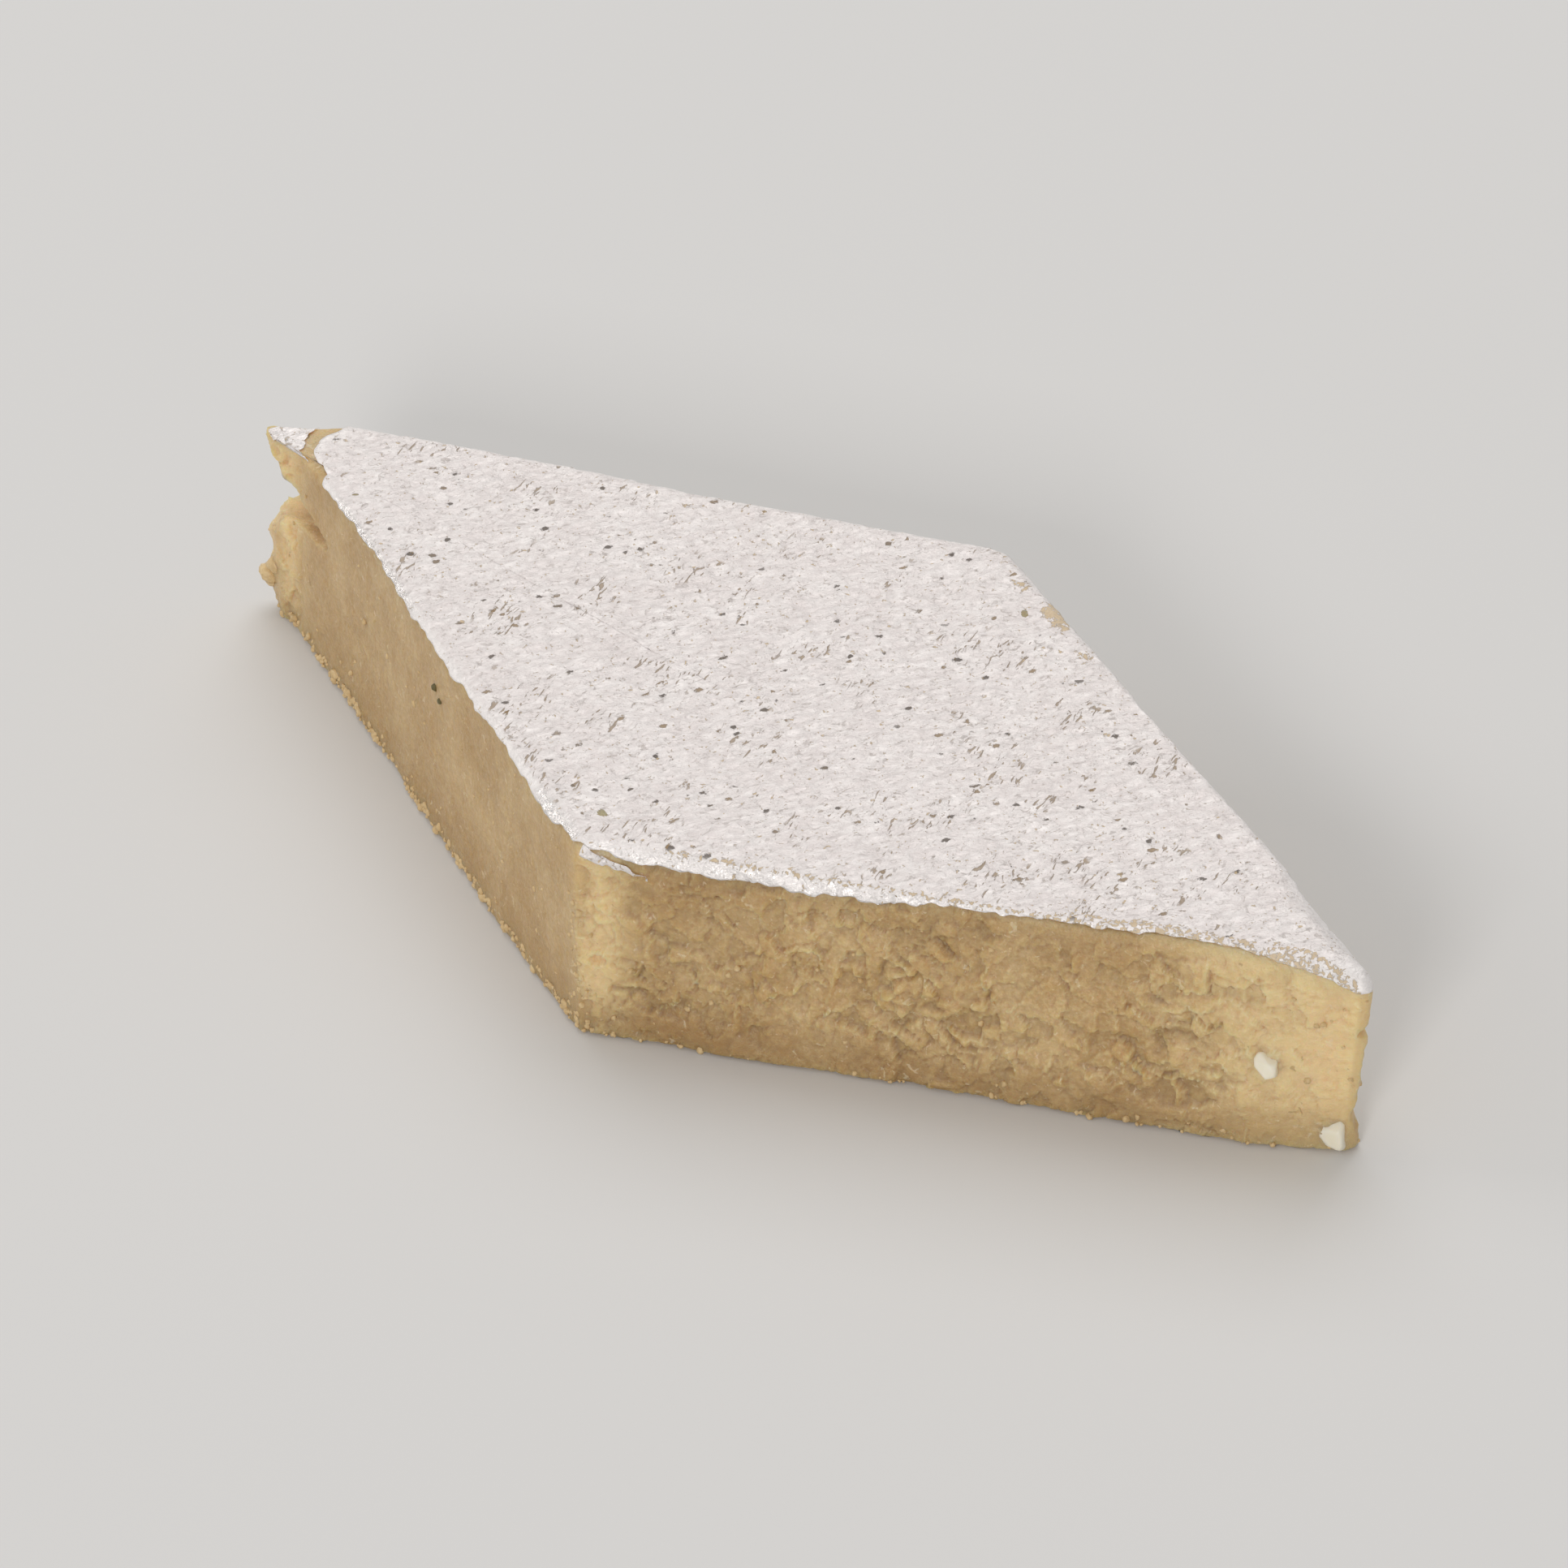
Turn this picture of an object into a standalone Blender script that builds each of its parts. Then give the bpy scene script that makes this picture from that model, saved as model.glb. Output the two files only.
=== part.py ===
"""One diamond of cashew barfi: a hand-cut slab of cashew fudge under a sheet of edible silver leaf.

Metres, +Z up. The origin is under the middle of the piece, on the surface that it rests on,
and +X runs along the long diagonal. The slab's cut sides carry the crumb, tears and chipped
tips of the real cut, and the leaf is a thin wavy sheet lying just above the slab.
"""

import math

import bmesh
import bpy
import numpy as np

# Driving dimensions
SIDE = 0.0417  # one edge of the diamond, from virtual corner to virtual corner
TIP_ANGLE = math.radians(46.0)  # between the edges at each sharp tip
HEIGHT = 0.0118  # from the table to the top of the leaf
FOOT_SHIFT = (-0.0004, -0.0011)  # how far the slanting knife carries the foot from the top

# How far each hand-cut corner of the top lies from the true diamond
LEFT_TIP_DRIFT = (-0.0005, 0.0009)
FRONT_DRIFT = (-0.0008, 0.0004)
RIGHT_TIP_DRIFT = (0.0004, 0.0)
BACK_DRIFT = (0.0003, -0.0004)
FRONT_FOOT_DRIFT = (0.0006, -0.0004)  # the foot stands out a little more at the front corner
RIGHT_FOOT_DRIFT = (-0.0010, 0.0006)  # and draws in under the right tip
LEFT_FOOT_DRIFT = (0.0004, 0.0006)

# How the long sides leave the straight line: place along +X, and how far they move there
LEFT_BEND = (
    (-0.0372, 0.0),
    (-0.0349, 0.00095),
    (-0.0287, 0.00095),
    (-0.0227, 0.00065),
    (-0.0157, 0.0002),
    (-0.0057, 0.0),
)
LEFT_FOOT_BEND_SHARE = 0.35  # the foot bends less than the top
FRONT_FOOT_BULGE = (
    (0.0113, 0.0),
    (0.0193, 0.00045),
    (0.0283, 0.00065),
    (0.0323, 0.0006),
    (0.0368, 0.0),
)

# Rounding of the corners seen from above, from the left tip on, counter-clockwise
TIP_RADIUS = 0.0005
FRONT_RADIUS = 0.0014
BACK_RADIUS = 0.0030
FOOT_ROUNDING = 0.0003
FOOT_ROUNDING_SHARE = 0.03  # of the wall's height

# Rounding of the top edge in profile
SHOULDER_RADIUS = 0.0005
FRONT_SHOULDER_RADIUS = 0.0008  # along the side to the right of the front corner
FRONT_SHOULDER_FADE = (0.004, 0.002)  # from that side, where the wider rounding starts and is full
SMEARED_RADIUS = 0.0014  # the paste is smeared over the edge round the right tip
SMEARED_REACH = 0.012
SMEARED_FULL_REACH = 0.0048

# Relief of the cut sides
KNIFE_WAVE = 0.00022
KNIFE_WAVE_LENGTH = 0.011
CRUMB_SIZE = 0.0026
CRUMB_DEPTH = 0.00075
CRUMB_LEVEL = 0.45  # share of the depth by which the middle of a crumb stands out
TEAR_SIZE = 0.0034
TEAR_DEPTH = 0.0006
TEAR_SPREAD = (0.15, 0.7)  # noise values at which a tear starts and is at its deepest
TEAR_FOOT = (0.001, 0.003)  # heights over which the tears set in above the foot
TEAR_TOP = (0.0105, 0.008)  # and below the top
ROUGH_FACING = (0.75, 0.98)  # share of a wall's facing that makes it one of the rough sides
SMOOTH_SIDE_SHARE = 0.35  # relief left on the sides that the knife smeared smooth

# The chipped tips: height of the middle, half height, reach from the tip, how far it goes in
LEFT_TIP_CHIPS = (
    (0.0075, 0.0014, 0.0036, 0.0030),
    (0.0054, 0.0008, 0.0024, -0.0006),
    (0.0024, 0.0013, 0.0030, -0.0010),
    (-0.0002, 0.0009, 0.0030, 0.0010),
)
RIGHT_TIP_CHIPS = ((0.0062, 0.0009, 0.0022, 0.0004),)
LEFT_CHIP_WAY = (1.0, -0.1)
RIGHT_CHIP_WAY = (-1.0, 0.0)

# Nut bits in the cut side to the right of the front corner: place along +X, height, width
NUT_BITS = ((0.0329, 0.0047, 0.0013), (0.0356, 0.0011, 0.0015))
NUT_SUNK_SHARE = 0.2

# The mesh's fineness
POINTS_PER_SIDE = 50
WALL_ROWS = 13
SHOULDER_TURNS = (math.radians(30), math.radians(60), math.radians(90))
TOP_SHARES = (0.82, 0.55)  # size of the rings that carry on over the flat top
LEAF_POINTS = 104
LEAF_SHARES = (1, 0.97, 0.92, 0.84, 0.7, 0.5, 0.25, 0)
SCRAP_POINTS = 20
SCRAP_SHARES = (1, 0.6, 0)

# The leaf
LEAF_THICKNESS = 0.0002
LEAF_CLEARANCE = 0.0003
LEAF_WAVE = 0.00006
LEAF_WAVE_LENGTH = 0.0045
LEAF_INSET_SHARE = 0.6  # of the rounding of the edge beneath it
LEAF_JAG = 0.00018
LEAF_JAG_LENGTH = 0.0012
LEAF_START = 0.0050  # where the main leaf starts, from the true left tip
SCRAP_END = 0.0038  # where the torn-off scrap on the tip ends

FUDGE_COLOUR = (0.60, 0.44, 0.22, 1.0)
FUDGE_ROUGHNESS = 0.55
LEAF_COLOUR = (0.86, 0.83, 0.82, 1.0)
LEAF_ROUGHNESS = 0.38
SHARP_ANGLE = math.radians(50)

# Distance from the middle of the top to its straight edges
TOP_APOTHEM = SIDE * math.sin(TIP_ANGLE) / 2

MERGE_DISTANCE = 1e-7
WALL_SEED = 11
TEAR_SEED = 23
WAVE_SEED = 5
LEAF_SEED = 31


def cell_value(cells, seed):
    """A repeatable number from 0 to 1 for each whole-numbered cell."""
    x, y, z = (cells[..., axis].astype(np.int64) for axis in range(3))
    mixed = (x * 374761393 + y * 668265263 + z * 1442695041 + seed * 1274126177) & 0xFFFFFFFF
    mixed = ((mixed ^ (mixed >> 13)) * 1103515245) & 0xFFFFFFFF
    mixed = ((mixed ^ (mixed >> 16)) * 1540483477) & 0xFFFFFFFF
    return (mixed ^ (mixed >> 15)) / 2.0**32


def smooth_noise(points, length, seed):
    """Rolling noise from -1 to 1: values at the corners of cubes of that length, blended between."""
    scaled = points / length
    low = np.floor(scaled)
    share = scaled - low
    share = share * share * (3 - 2 * share)
    total = 0
    for corner in np.ndindex(2, 2, 2):
        weight = np.prod(np.where(corner, share, 1 - share), axis=-1)
        total = total + weight * cell_value(low + corner, seed)
    return 2 * total - 1


def crumb_distance(points, size, seed):
    """Distance to the middle of the nearest crumb, in crumb sizes. One crumb sits in each cube."""
    scaled = points / size
    home = np.floor(scaled)
    nearest = np.full(points.shape[:-1], 9.0)
    for step in np.ndindex(3, 3, 3):
        cell = home + np.array(step) - 1
        middle = cell + np.stack([cell_value(cell, seed + axis) for axis in range(3)], axis=-1)
        nearest = np.minimum(nearest, np.linalg.norm(scaled - middle, axis=-1))
    return nearest


def fade(value, start, end):
    """Smooth step from 0 at start to 1 at end."""
    share = np.clip((value - start) / (end - start), 0, 1)
    return share * share * (3 - 2 * share)


def diamond_corners(at_top):
    """The four hand-cut corners, counter-clockwise from the left tip, of the top or of the foot."""
    half_long = SIDE * math.cos(TIP_ANGLE / 2)
    half_short = SIDE * math.sin(TIP_ANGLE / 2)
    true_corners = np.array([(-half_long, 0), (0, -half_short), (half_long, 0), (0, half_short)])
    top = true_corners + np.array([LEFT_TIP_DRIFT, FRONT_DRIFT, RIGHT_TIP_DRIFT, BACK_DRIFT])
    if at_top:
        return top
    foot = top + np.array(FOOT_SHIFT)
    foot[0] += LEFT_FOOT_DRIFT
    foot[1] += FRONT_FOOT_DRIFT
    foot[2] += RIGHT_FOOT_DRIFT
    return foot


def corner_arc(before, corner, after, radius, steps=12):
    """Points along the arc that rounds a corner between its two edges, and the same arc's middle."""
    into = (before - corner) / np.linalg.norm(before - corner)
    out = (after - corner) / np.linalg.norm(after - corner)
    half_angle = math.acos(float(np.clip(into @ out, -1, 1))) / 2
    middle_way = (into + out) / np.linalg.norm(into + out)
    centre = corner + middle_way * radius / math.sin(half_angle)
    start = corner + into * radius / math.tan(half_angle) - centre
    sweep = math.pi - 2 * half_angle
    turns = np.linspace(0, sweep, 2 * steps + 1)
    rotated = np.stack(
        [
            start[0] * np.cos(turns) - start[1] * np.sin(turns),
            start[0] * np.sin(turns) + start[1] * np.cos(turns),
        ],
        axis=-1,
    )
    return centre + rotated, steps


def rounded_outline(corners, per_side):
    """Points round the diamond, per_side on each edge, each edge starting mid-way round a corner."""
    radii = (TIP_RADIUS, FRONT_RADIUS, TIP_RADIUS, BACK_RADIUS)
    arcs = [corner_arc(corners[k - 1], corners[k], corners[(k + 1) % 4], radii[k]) for k in range(4)]
    ring = []
    for k in range(4):
        leaving, middle = arcs[k]
        arriving, next_middle = arcs[(k + 1) % 4]
        path = np.vstack([leaving[middle:], arriving[: next_middle + 1]])
        along = np.r_[0, np.cumsum(np.linalg.norm(np.diff(path, axis=0), axis=1))]
        wanted = np.linspace(0, along[-1], per_side, endpoint=False)
        ring.append(np.stack([np.interp(wanted, along, path[:, axis]) for axis in (0, 1)], axis=-1))
    return np.vstack(ring)


def hand_cut_ring(at_top):
    """The rounded outline of the top or of the foot, with the left end bent and the front bulging."""
    ring = rounded_outline(diamond_corners(at_top), POINTS_PER_SIDE)
    bend = np.interp(ring[:, 0], *np.transpose(LEFT_BEND))
    if at_top:
        ring[:, 1] += bend
        return ring
    ring[:, 1] += LEFT_FOOT_BEND_SHARE * bend
    front = ring[POINTS_PER_SIDE : 2 * POINTS_PER_SIDE]
    front[:, 1] -= np.interp(front[:, 0], *np.transpose(FRONT_FOOT_BULGE))
    return ring


def outward(ring):
    """Normals of a counter-clockwise ring, evened out over the next points, so shorter at the tips."""
    along = np.roll(ring, -1, axis=0) - np.roll(ring, 1, axis=0)
    along /= np.linalg.norm(along, axis=-1, keepdims=True)
    normals = np.stack([along[:, 1], -along[:, 0]], axis=-1)
    return (np.roll(normals, 1, axis=0) + normals + np.roll(normals, -1, axis=0)) / 3


def shoulder_radius(points):
    """Radius of the rounded top edge beside each point: wider along the front and at the right tip."""
    front, right, back = diamond_corners(at_top=True)[1:]
    side = (right - front) / np.linalg.norm(right - front)
    offset = points[..., :2] - front
    behind_front_side = side[0] * offset[..., 1] - side[1] * offset[..., 0]
    at_front = fade(behind_front_side, *FRONT_SHOULDER_FADE)
    radius = SHOULDER_RADIUS + (FRONT_SHOULDER_RADIUS - SHOULDER_RADIUS) * at_front
    from_right_tip = np.linalg.norm(points[..., :2] - right, axis=-1)
    return radius + (SMEARED_RADIUS - radius) * fade(from_right_tip, SMEARED_REACH, SMEARED_FULL_REACH)


def shoulder_drop(inset, radius):
    """How far below the flat top the rounded edge lies, that far in from the edge."""
    left = np.clip(radius - inset, 0, radius)
    return radius - np.sqrt(radius**2 - left**2)


def side_relief(points, normals):
    """How far the cut wall stands out at each point: knife waves, crumbs, and tears on two sides."""
    torn_way = np.array([math.sin(TIP_ANGLE / 2), -math.cos(TIP_ANGLE / 2)])
    rough = fade(np.abs(normals @ torn_way), *ROUGH_FACING)
    share = SMOOTH_SIDE_SHARE + (1 - SMOOTH_SIDE_SHARE) * rough
    wave = KNIFE_WAVE * smooth_noise(points, KNIFE_WAVE_LENGTH, WAVE_SEED)
    crumb = CRUMB_DEPTH * (CRUMB_LEVEL - crumb_distance(points, CRUMB_SIZE, WALL_SEED) ** 2)
    torn = fade(smooth_noise(points, TEAR_SIZE, TEAR_SEED), *TEAR_SPREAD)
    mid_height = fade(points[..., 2], *TEAR_FOOT) * fade(points[..., 2], *TEAR_TOP)
    return wave + share * crumb - rough * TEAR_DEPTH * torn * mid_height


def chip_tip(points, tip, way_in, chips):
    """Moves the points near a tip in along way_in where it is chipped, and out where a lobe stands."""
    reach = np.linalg.norm(points[..., :2] - tip, axis=-1)
    for height, half_height, radius, depth in chips:
        here = np.exp(-(((points[..., 2] - height) / half_height) ** 2) - (reach / radius) ** 2)
        points[..., :2] += (depth * here)[..., None] * way_in


def slab_surface(slab_top):
    """The slab's skin as rows of points: up the wall, round the top edge, and in over the flat top."""
    top_ring = hand_cut_ring(at_top=True)
    foot_ring = hand_cut_ring(at_top=False)
    centre = top_ring.mean(axis=0)
    radius = shoulder_radius(top_ring)
    rows = []
    for share in np.r_[0, FOOT_ROUNDING_SHARE, np.linspace(0, 1, WALL_ROWS - 1)[1:]]:
        heights = share * (slab_top - radius)
        ring = foot_ring + (top_ring - foot_ring) * (heights / HEIGHT)[:, None]
        points = np.column_stack([ring, heights])
        stands_out = side_relief(points, outward(ring)) - (FOOT_ROUNDING if share == 0 else 0)
        points[:, :2] += outward(ring) * stands_out[:, None]
        rows.append(points)
    last_wall_row = rows[-1]
    for turn in SHOULDER_TURNS:
        shrink = 1 - radius * (1 - math.cos(turn)) / TOP_APOTHEM
        ring = centre + (top_ring - centre) * shrink[:, None]
        heights = slab_top - radius * (1 - math.sin(turn))
        points = np.column_stack([ring, heights])
        stands_out = side_relief(last_wall_row, outward(ring)) * math.cos(turn)
        points[:, :2] += outward(ring) * stands_out[:, None]
        rows.append(points)
    top_edge = rows[-1]
    for share in TOP_SHARES:
        ring = centre + (top_edge[:, :2] - centre) * share
        rows.append(np.column_stack([ring, np.full(len(ring), slab_top)]))
    surface = np.array(rows)
    left_tip, _, right_tip, _ = diamond_corners(at_top=True)
    chip_tip(surface, left_tip, np.array(LEFT_CHIP_WAY), LEFT_TIP_CHIPS)
    chip_tip(surface, right_tip, np.array(RIGHT_CHIP_WAY), RIGHT_TIP_CHIPS)
    return surface


def material(name, colour, roughness, metallic):
    made = bpy.data.materials.new(name)
    made.use_nodes = True
    shader = made.node_tree.nodes["Principled BSDF"]
    shader.inputs["Base Color"].default_value = colour
    shader.inputs["Roughness"].default_value = roughness
    shader.inputs["Metallic"].default_value = metallic
    made.diffuse_color = colour
    return made


def finished_object(name, shape, surface_material, collection):
    """Turns a bmesh into a named object with its material, and frees the bmesh."""
    mesh = bpy.data.meshes.new(name)
    shape.to_mesh(mesh)
    shape.free()
    mesh.materials.append(surface_material)
    made = bpy.data.objects.new(name, mesh)
    collection.objects.link(made)
    return made


def fuse_nut_bit(fudge, name, spot, width):
    """Joins a small faceted nut bit to the slab where it shows in the cut side."""
    shape = bmesh.new()
    bmesh.ops.create_icosphere(shape, subdivisions=1, radius=width / 2)
    inwards = np.array([-math.sin(TIP_ANGLE / 2), math.cos(TIP_ANGLE / 2), 0])
    bmesh.ops.translate(shape, verts=shape.verts, vec=spot + inwards * NUT_SUNK_SHARE * width)
    bit = finished_object(name, shape, fudge.data.materials[0], bpy.context.scene.collection)
    union = fudge.modifiers.new(name, "BOOLEAN")
    union.operation = "UNION"
    union.solver = "EXACT"
    union.object = bit
    joined = bpy.data.meshes.new_from_object(fudge.evaluated_get(bpy.context.evaluated_depsgraph_get()))
    fudge.modifiers.remove(union)
    fudge.data = joined
    bpy.data.objects.remove(bit)


def skinned_shape(surface, closed_ends):
    """A tube cut into rows, whose every vertex moves to its place in the surface's rows of points."""
    around = surface.shape[1]
    last_row = len(surface) - 1
    shape = bmesh.new()
    bmesh.ops.create_cone(shape, cap_ends=closed_ends, segments=around, radius1=1, radius2=1, depth=1)
    upright = [edge for edge in shape.edges if abs(edge.verts[0].co.z - edge.verts[1].co.z) > 0.5]
    bmesh.ops.subdivide_edges(shape, edges=upright, cuts=last_row - 1)
    for vertex in shape.verts:
        turn = math.atan2(vertex.co.y, vertex.co.x) / (2 * math.pi)
        row = round((vertex.co.z + 0.5) * last_row)
        vertex.co = surface[row, round(turn * around) % around]
    bmesh.ops.remove_doubles(shape, verts=shape.verts, dist=MERGE_DISTANCE)
    return shape


def build_fudge(collection, middle, slab_top):
    """The slab, with the nut bits that show in its cut side."""
    surface = slab_surface(slab_top) - middle
    shape = skinned_shape(surface, closed_ends=True)
    paste = material("cashew_fudge", FUDGE_COLOUR, FUDGE_ROUGHNESS, 0.0)
    fudge = finished_object("cashew_fudge", shape, paste, collection)
    front_side = surface[:WALL_ROWS, POINTS_PER_SIDE : 2 * POINTS_PER_SIDE]
    for number, (place, height, width) in enumerate(NUT_BITS):
        wanted = np.array([place - middle[0], height])
        distance = np.linalg.norm(front_side[..., [0, 2]] - wanted, axis=-1)
        spot = front_side[np.unravel_index(np.argmin(distance), distance.shape)].copy()
        spot[2] = height
        fuse_nut_bit(fudge, f"nut_bit_{number}", spot, width)
    fudge.data.shade_smooth()
    fudge.data.set_sharp_from_angle(angle=SHARP_ANGLE)


def leaf_outline(start, end, points):
    """The jagged edge of the leaf between two distances from the true left tip, evenly spaced points."""
    ring = hand_cut_ring(at_top=True)
    ring = ring - outward(ring) * (LEAF_INSET_SHARE * shoulder_radius(ring))[:, None]
    half_long = SIDE * math.cos(TIP_ANGLE / 2)
    from_tip = ring[:, 0] + half_long
    kept = (from_tip > start) & (from_tip < end)
    if kept[0]:
        first = int(np.flatnonzero(~kept)[-1]) + 1
    else:
        first = int(np.flatnonzero(kept)[0])
    path = np.roll(ring, -first, axis=0)[: int(kept.sum())]
    path = np.vstack([path, path[:1]])
    along = np.r_[0, np.cumsum(np.linalg.norm(np.diff(path, axis=0), axis=1))]
    wanted = np.linspace(0, along[-1], points, endpoint=False)
    edge = np.stack([np.interp(wanted, along, path[:, axis]) for axis in (0, 1)], axis=-1)
    flat = np.column_stack([edge, np.zeros(points)])
    return edge + outward(edge) * (LEAF_JAG * smooth_noise(flat, LEAF_JAG_LENGTH, LEAF_SEED))[:, None]


def build_leaf(name, ring, shares, surface_material, collection, middle):
    """One sheet of leaf: rings inside its outline, wavy, bent down at the edge, thickened downwards."""
    centre = ring.mean(axis=0)
    surface = []
    for share in shares:
        flat = centre + (ring - centre) * share
        points = np.column_stack([flat, np.full(len(flat), HEIGHT)])
        radius = shoulder_radius(points)
        inset = LEAF_INSET_SHARE * radius + (1 - share) * np.linalg.norm(ring - centre, axis=-1).min()
        points[:, 2] -= shoulder_drop(inset, radius)
        points[:, 2] += LEAF_WAVE * (smooth_noise(points, LEAF_WAVE_LENGTH, LEAF_SEED) - 1)
        surface.append(points - middle)
    shape = skinned_shape(np.array(surface), closed_ends=False)
    leaf = finished_object(name, shape, surface_material, collection)
    thicken = leaf.modifiers.new("leaf_thickness", "SOLIDIFY")
    thicken.thickness = LEAF_THICKNESS
    thicken.offset = -1
    leaf.data.shade_smooth()


for leftover in list(bpy.data.objects):
    bpy.data.objects.remove(leftover)

barfi = bpy.data.collections.new("barfi")
bpy.context.scene.collection.children.link(barfi)
slab_height = HEIGHT - LEAF_THICKNESS - 2 * LEAF_WAVE - LEAF_CLEARANCE
walls = slab_surface(slab_height)
footprint_middle = (walls.min(axis=(0, 1)) + walls.max(axis=(0, 1))) / 2
footprint_middle[2] = 0
build_fudge(barfi, footprint_middle, slab_height)
silver = material("silver_leaf", LEAF_COLOUR, LEAF_ROUGHNESS, 1.0)
main_edge = leaf_outline(LEAF_START, math.inf, LEAF_POINTS)
build_leaf("silver_leaf", main_edge, LEAF_SHARES, silver, barfi, footprint_middle)
scrap_edge = leaf_outline(-math.inf, SCRAP_END, SCRAP_POINTS)
build_leaf("leaf_scrap", scrap_edge, SCRAP_SHARES, silver, barfi, footprint_middle)
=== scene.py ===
import math

import bpy
import numpy as np
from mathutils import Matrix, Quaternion, Vector


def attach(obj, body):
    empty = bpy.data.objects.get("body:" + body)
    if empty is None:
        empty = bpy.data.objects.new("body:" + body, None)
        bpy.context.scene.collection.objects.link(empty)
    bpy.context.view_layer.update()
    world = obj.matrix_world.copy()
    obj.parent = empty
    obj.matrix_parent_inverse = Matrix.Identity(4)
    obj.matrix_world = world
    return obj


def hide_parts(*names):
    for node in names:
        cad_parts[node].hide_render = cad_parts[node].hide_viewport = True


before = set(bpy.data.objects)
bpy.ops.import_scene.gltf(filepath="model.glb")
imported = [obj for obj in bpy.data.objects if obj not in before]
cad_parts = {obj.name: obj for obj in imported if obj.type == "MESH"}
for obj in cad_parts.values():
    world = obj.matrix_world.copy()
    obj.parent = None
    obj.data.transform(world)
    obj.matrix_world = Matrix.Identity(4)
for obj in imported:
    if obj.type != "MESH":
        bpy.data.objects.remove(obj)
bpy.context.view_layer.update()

# Slab of cashew paste
# Ground cashews cooked with sugar to a dense paste, rolled out and cut into diamonds with a
# knife. The blade smears some sides smooth and tears others, and the sharp tips chip.

PASTE_TOP = 0.0115
# Corners and their radii before the tips break off: left, front, right and back. Those of the top
# are given at SLAB_HEIGHT, which is a little above the paste.
SLAB_HEIGHT = 0.0118
OUTLINE_TOP = np.array([(-0.03823, 0.00176), (-0.00014, -0.01503), (0.03944, 0.00086), (0.00096, 0.01675)])
OUTLINE_FOOT = np.array([(-0.03823, 0.00126), (0.00006, -0.01653), (0.03804, 0.00036), (0.00056, 0.01565)])
TOP_RADII = (0.0003, 0.0008, 0.0005, 0.0026)
FOOT_RADII = (0.0003, 0.0004, 0.0005, 0.0026)
SIDE_STEPS = (300, 380, 170, 150)  # columns of points along each side, most on the two in front
OUTLINE_STEPS = sum(SIDE_STEPS)
CORNER_STEPS = np.cumsum((0, *SIDE_STEPS))
ARC_STEPS = 40  # along the arc of a corner
FINE_STEPS = 400  # along a side before its columns are spaced evenly
NORMALS_EVENED_OVER = 5  # columns to each side
EDGE_TO_MIDDLE = 0.015  # the skin's inset at the middle of the top
TIP_HALF_ANGLE = math.radians(23)
FRONT_NORMAL = np.array([math.sin(TIP_HALF_ANGLE), -math.cos(TIP_HALF_ANGLE)])
# Cosines between which a wall comes to count as the front side. Other pairs are read in the same
# way: what they name is none at the first value and full at the second.
FRONT_FACING = (0.8, 0.97)
# Radius of the rounded top edge: of most of it, within so far of the front side, and where the
# right tip is smeared
SHOULDER = 0.0005
FRONT_SHOULDER = 0.0008
FRONT_SHOULDER_REACH = (0.004, 0.002)
SMEARED_SHOULDER = 0.0014
SMEARED_REACH = 0.012
SMEARED_FULL_REACH = 0.4 * SMEARED_REACH
# The left end is bent back: place along X, and how far the top moves there
BEND = np.array(
    [
        (-0.0365, 0), (-0.0342, 0.00095), (-0.028, 0.00095), (-0.022, 0.00065), (-0.015, 0.0002),
        (-0.005, 0),
    ]
)
FOOT_BEND_SHARE = 0.35
# The foot of the front side bulges out: place along X, and how far
FOOT_BULGE = np.array([(0.012, 0), (0.02, 0.00045), (0.029, 0.00065), (0.033, 0.0006), (0.0375, 0)])

# Large factors that scatter the bits of a cell's numbers
CELL_FACTORS = (374761393, 668265263, 1442695041, 1274126177)
CELL_MIXERS = (1103515245, 1540483477)
LOW_BITS = 0xFFFFFFFF
# How far a flake's own level goes, and how strongly it tilts
FLAKE_LEVEL = 1.3
FLAKE_TILT = 1.6


def cell_value(cells, seed):
    """A repeatable number from 0 to 1 for each whole-numbered cell: its three numbers and the seed,
    each times a large factor, are added up, and the bits of the sum are mixed."""
    x, y, z = (cells[..., axis].astype(np.int64) * CELL_FACTORS[axis] for axis in range(3))
    mixed = (x + y + z + seed * CELL_FACTORS[3]) & LOW_BITS
    mixed = ((mixed ^ (mixed >> 13)) * CELL_MIXERS[0]) & LOW_BITS
    mixed = ((mixed ^ (mixed >> 16)) * CELL_MIXERS[1]) & LOW_BITS
    return (mixed ^ (mixed >> 15)) / 2.0**32


def fade(value, start, end):
    """Smooth step from 0 at start to 1 at end."""
    share = np.clip((value - start) / (end - start), 0, 1)
    return share * share * (3 - 2 * share)


def at_least(floor, share):
    """A share from 0 to 1, raised so that it runs from the floor to 1."""
    return floor + (1 - floor) * share


def rolling(points, width, seed):
    """Noise from -1 to 1: random values at the corners of cubes that wide, blended between."""
    scaled = points / width
    low = np.floor(scaled)
    share = fade(scaled - low, 0, 1)
    total = 0
    for corner in np.ndindex(2, 2, 2):
        weight = np.prod(np.where(corner, share, 1 - share), axis=-1)
        total = total + weight * cell_value(low + corner, seed)
    return 2 * total - 1


def uneven(points, form, seed):
    """Rolling noise that is as wide and stands out as far as the form says."""
    width, reach = form
    return reach * rolling(points, width, seed)


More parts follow.
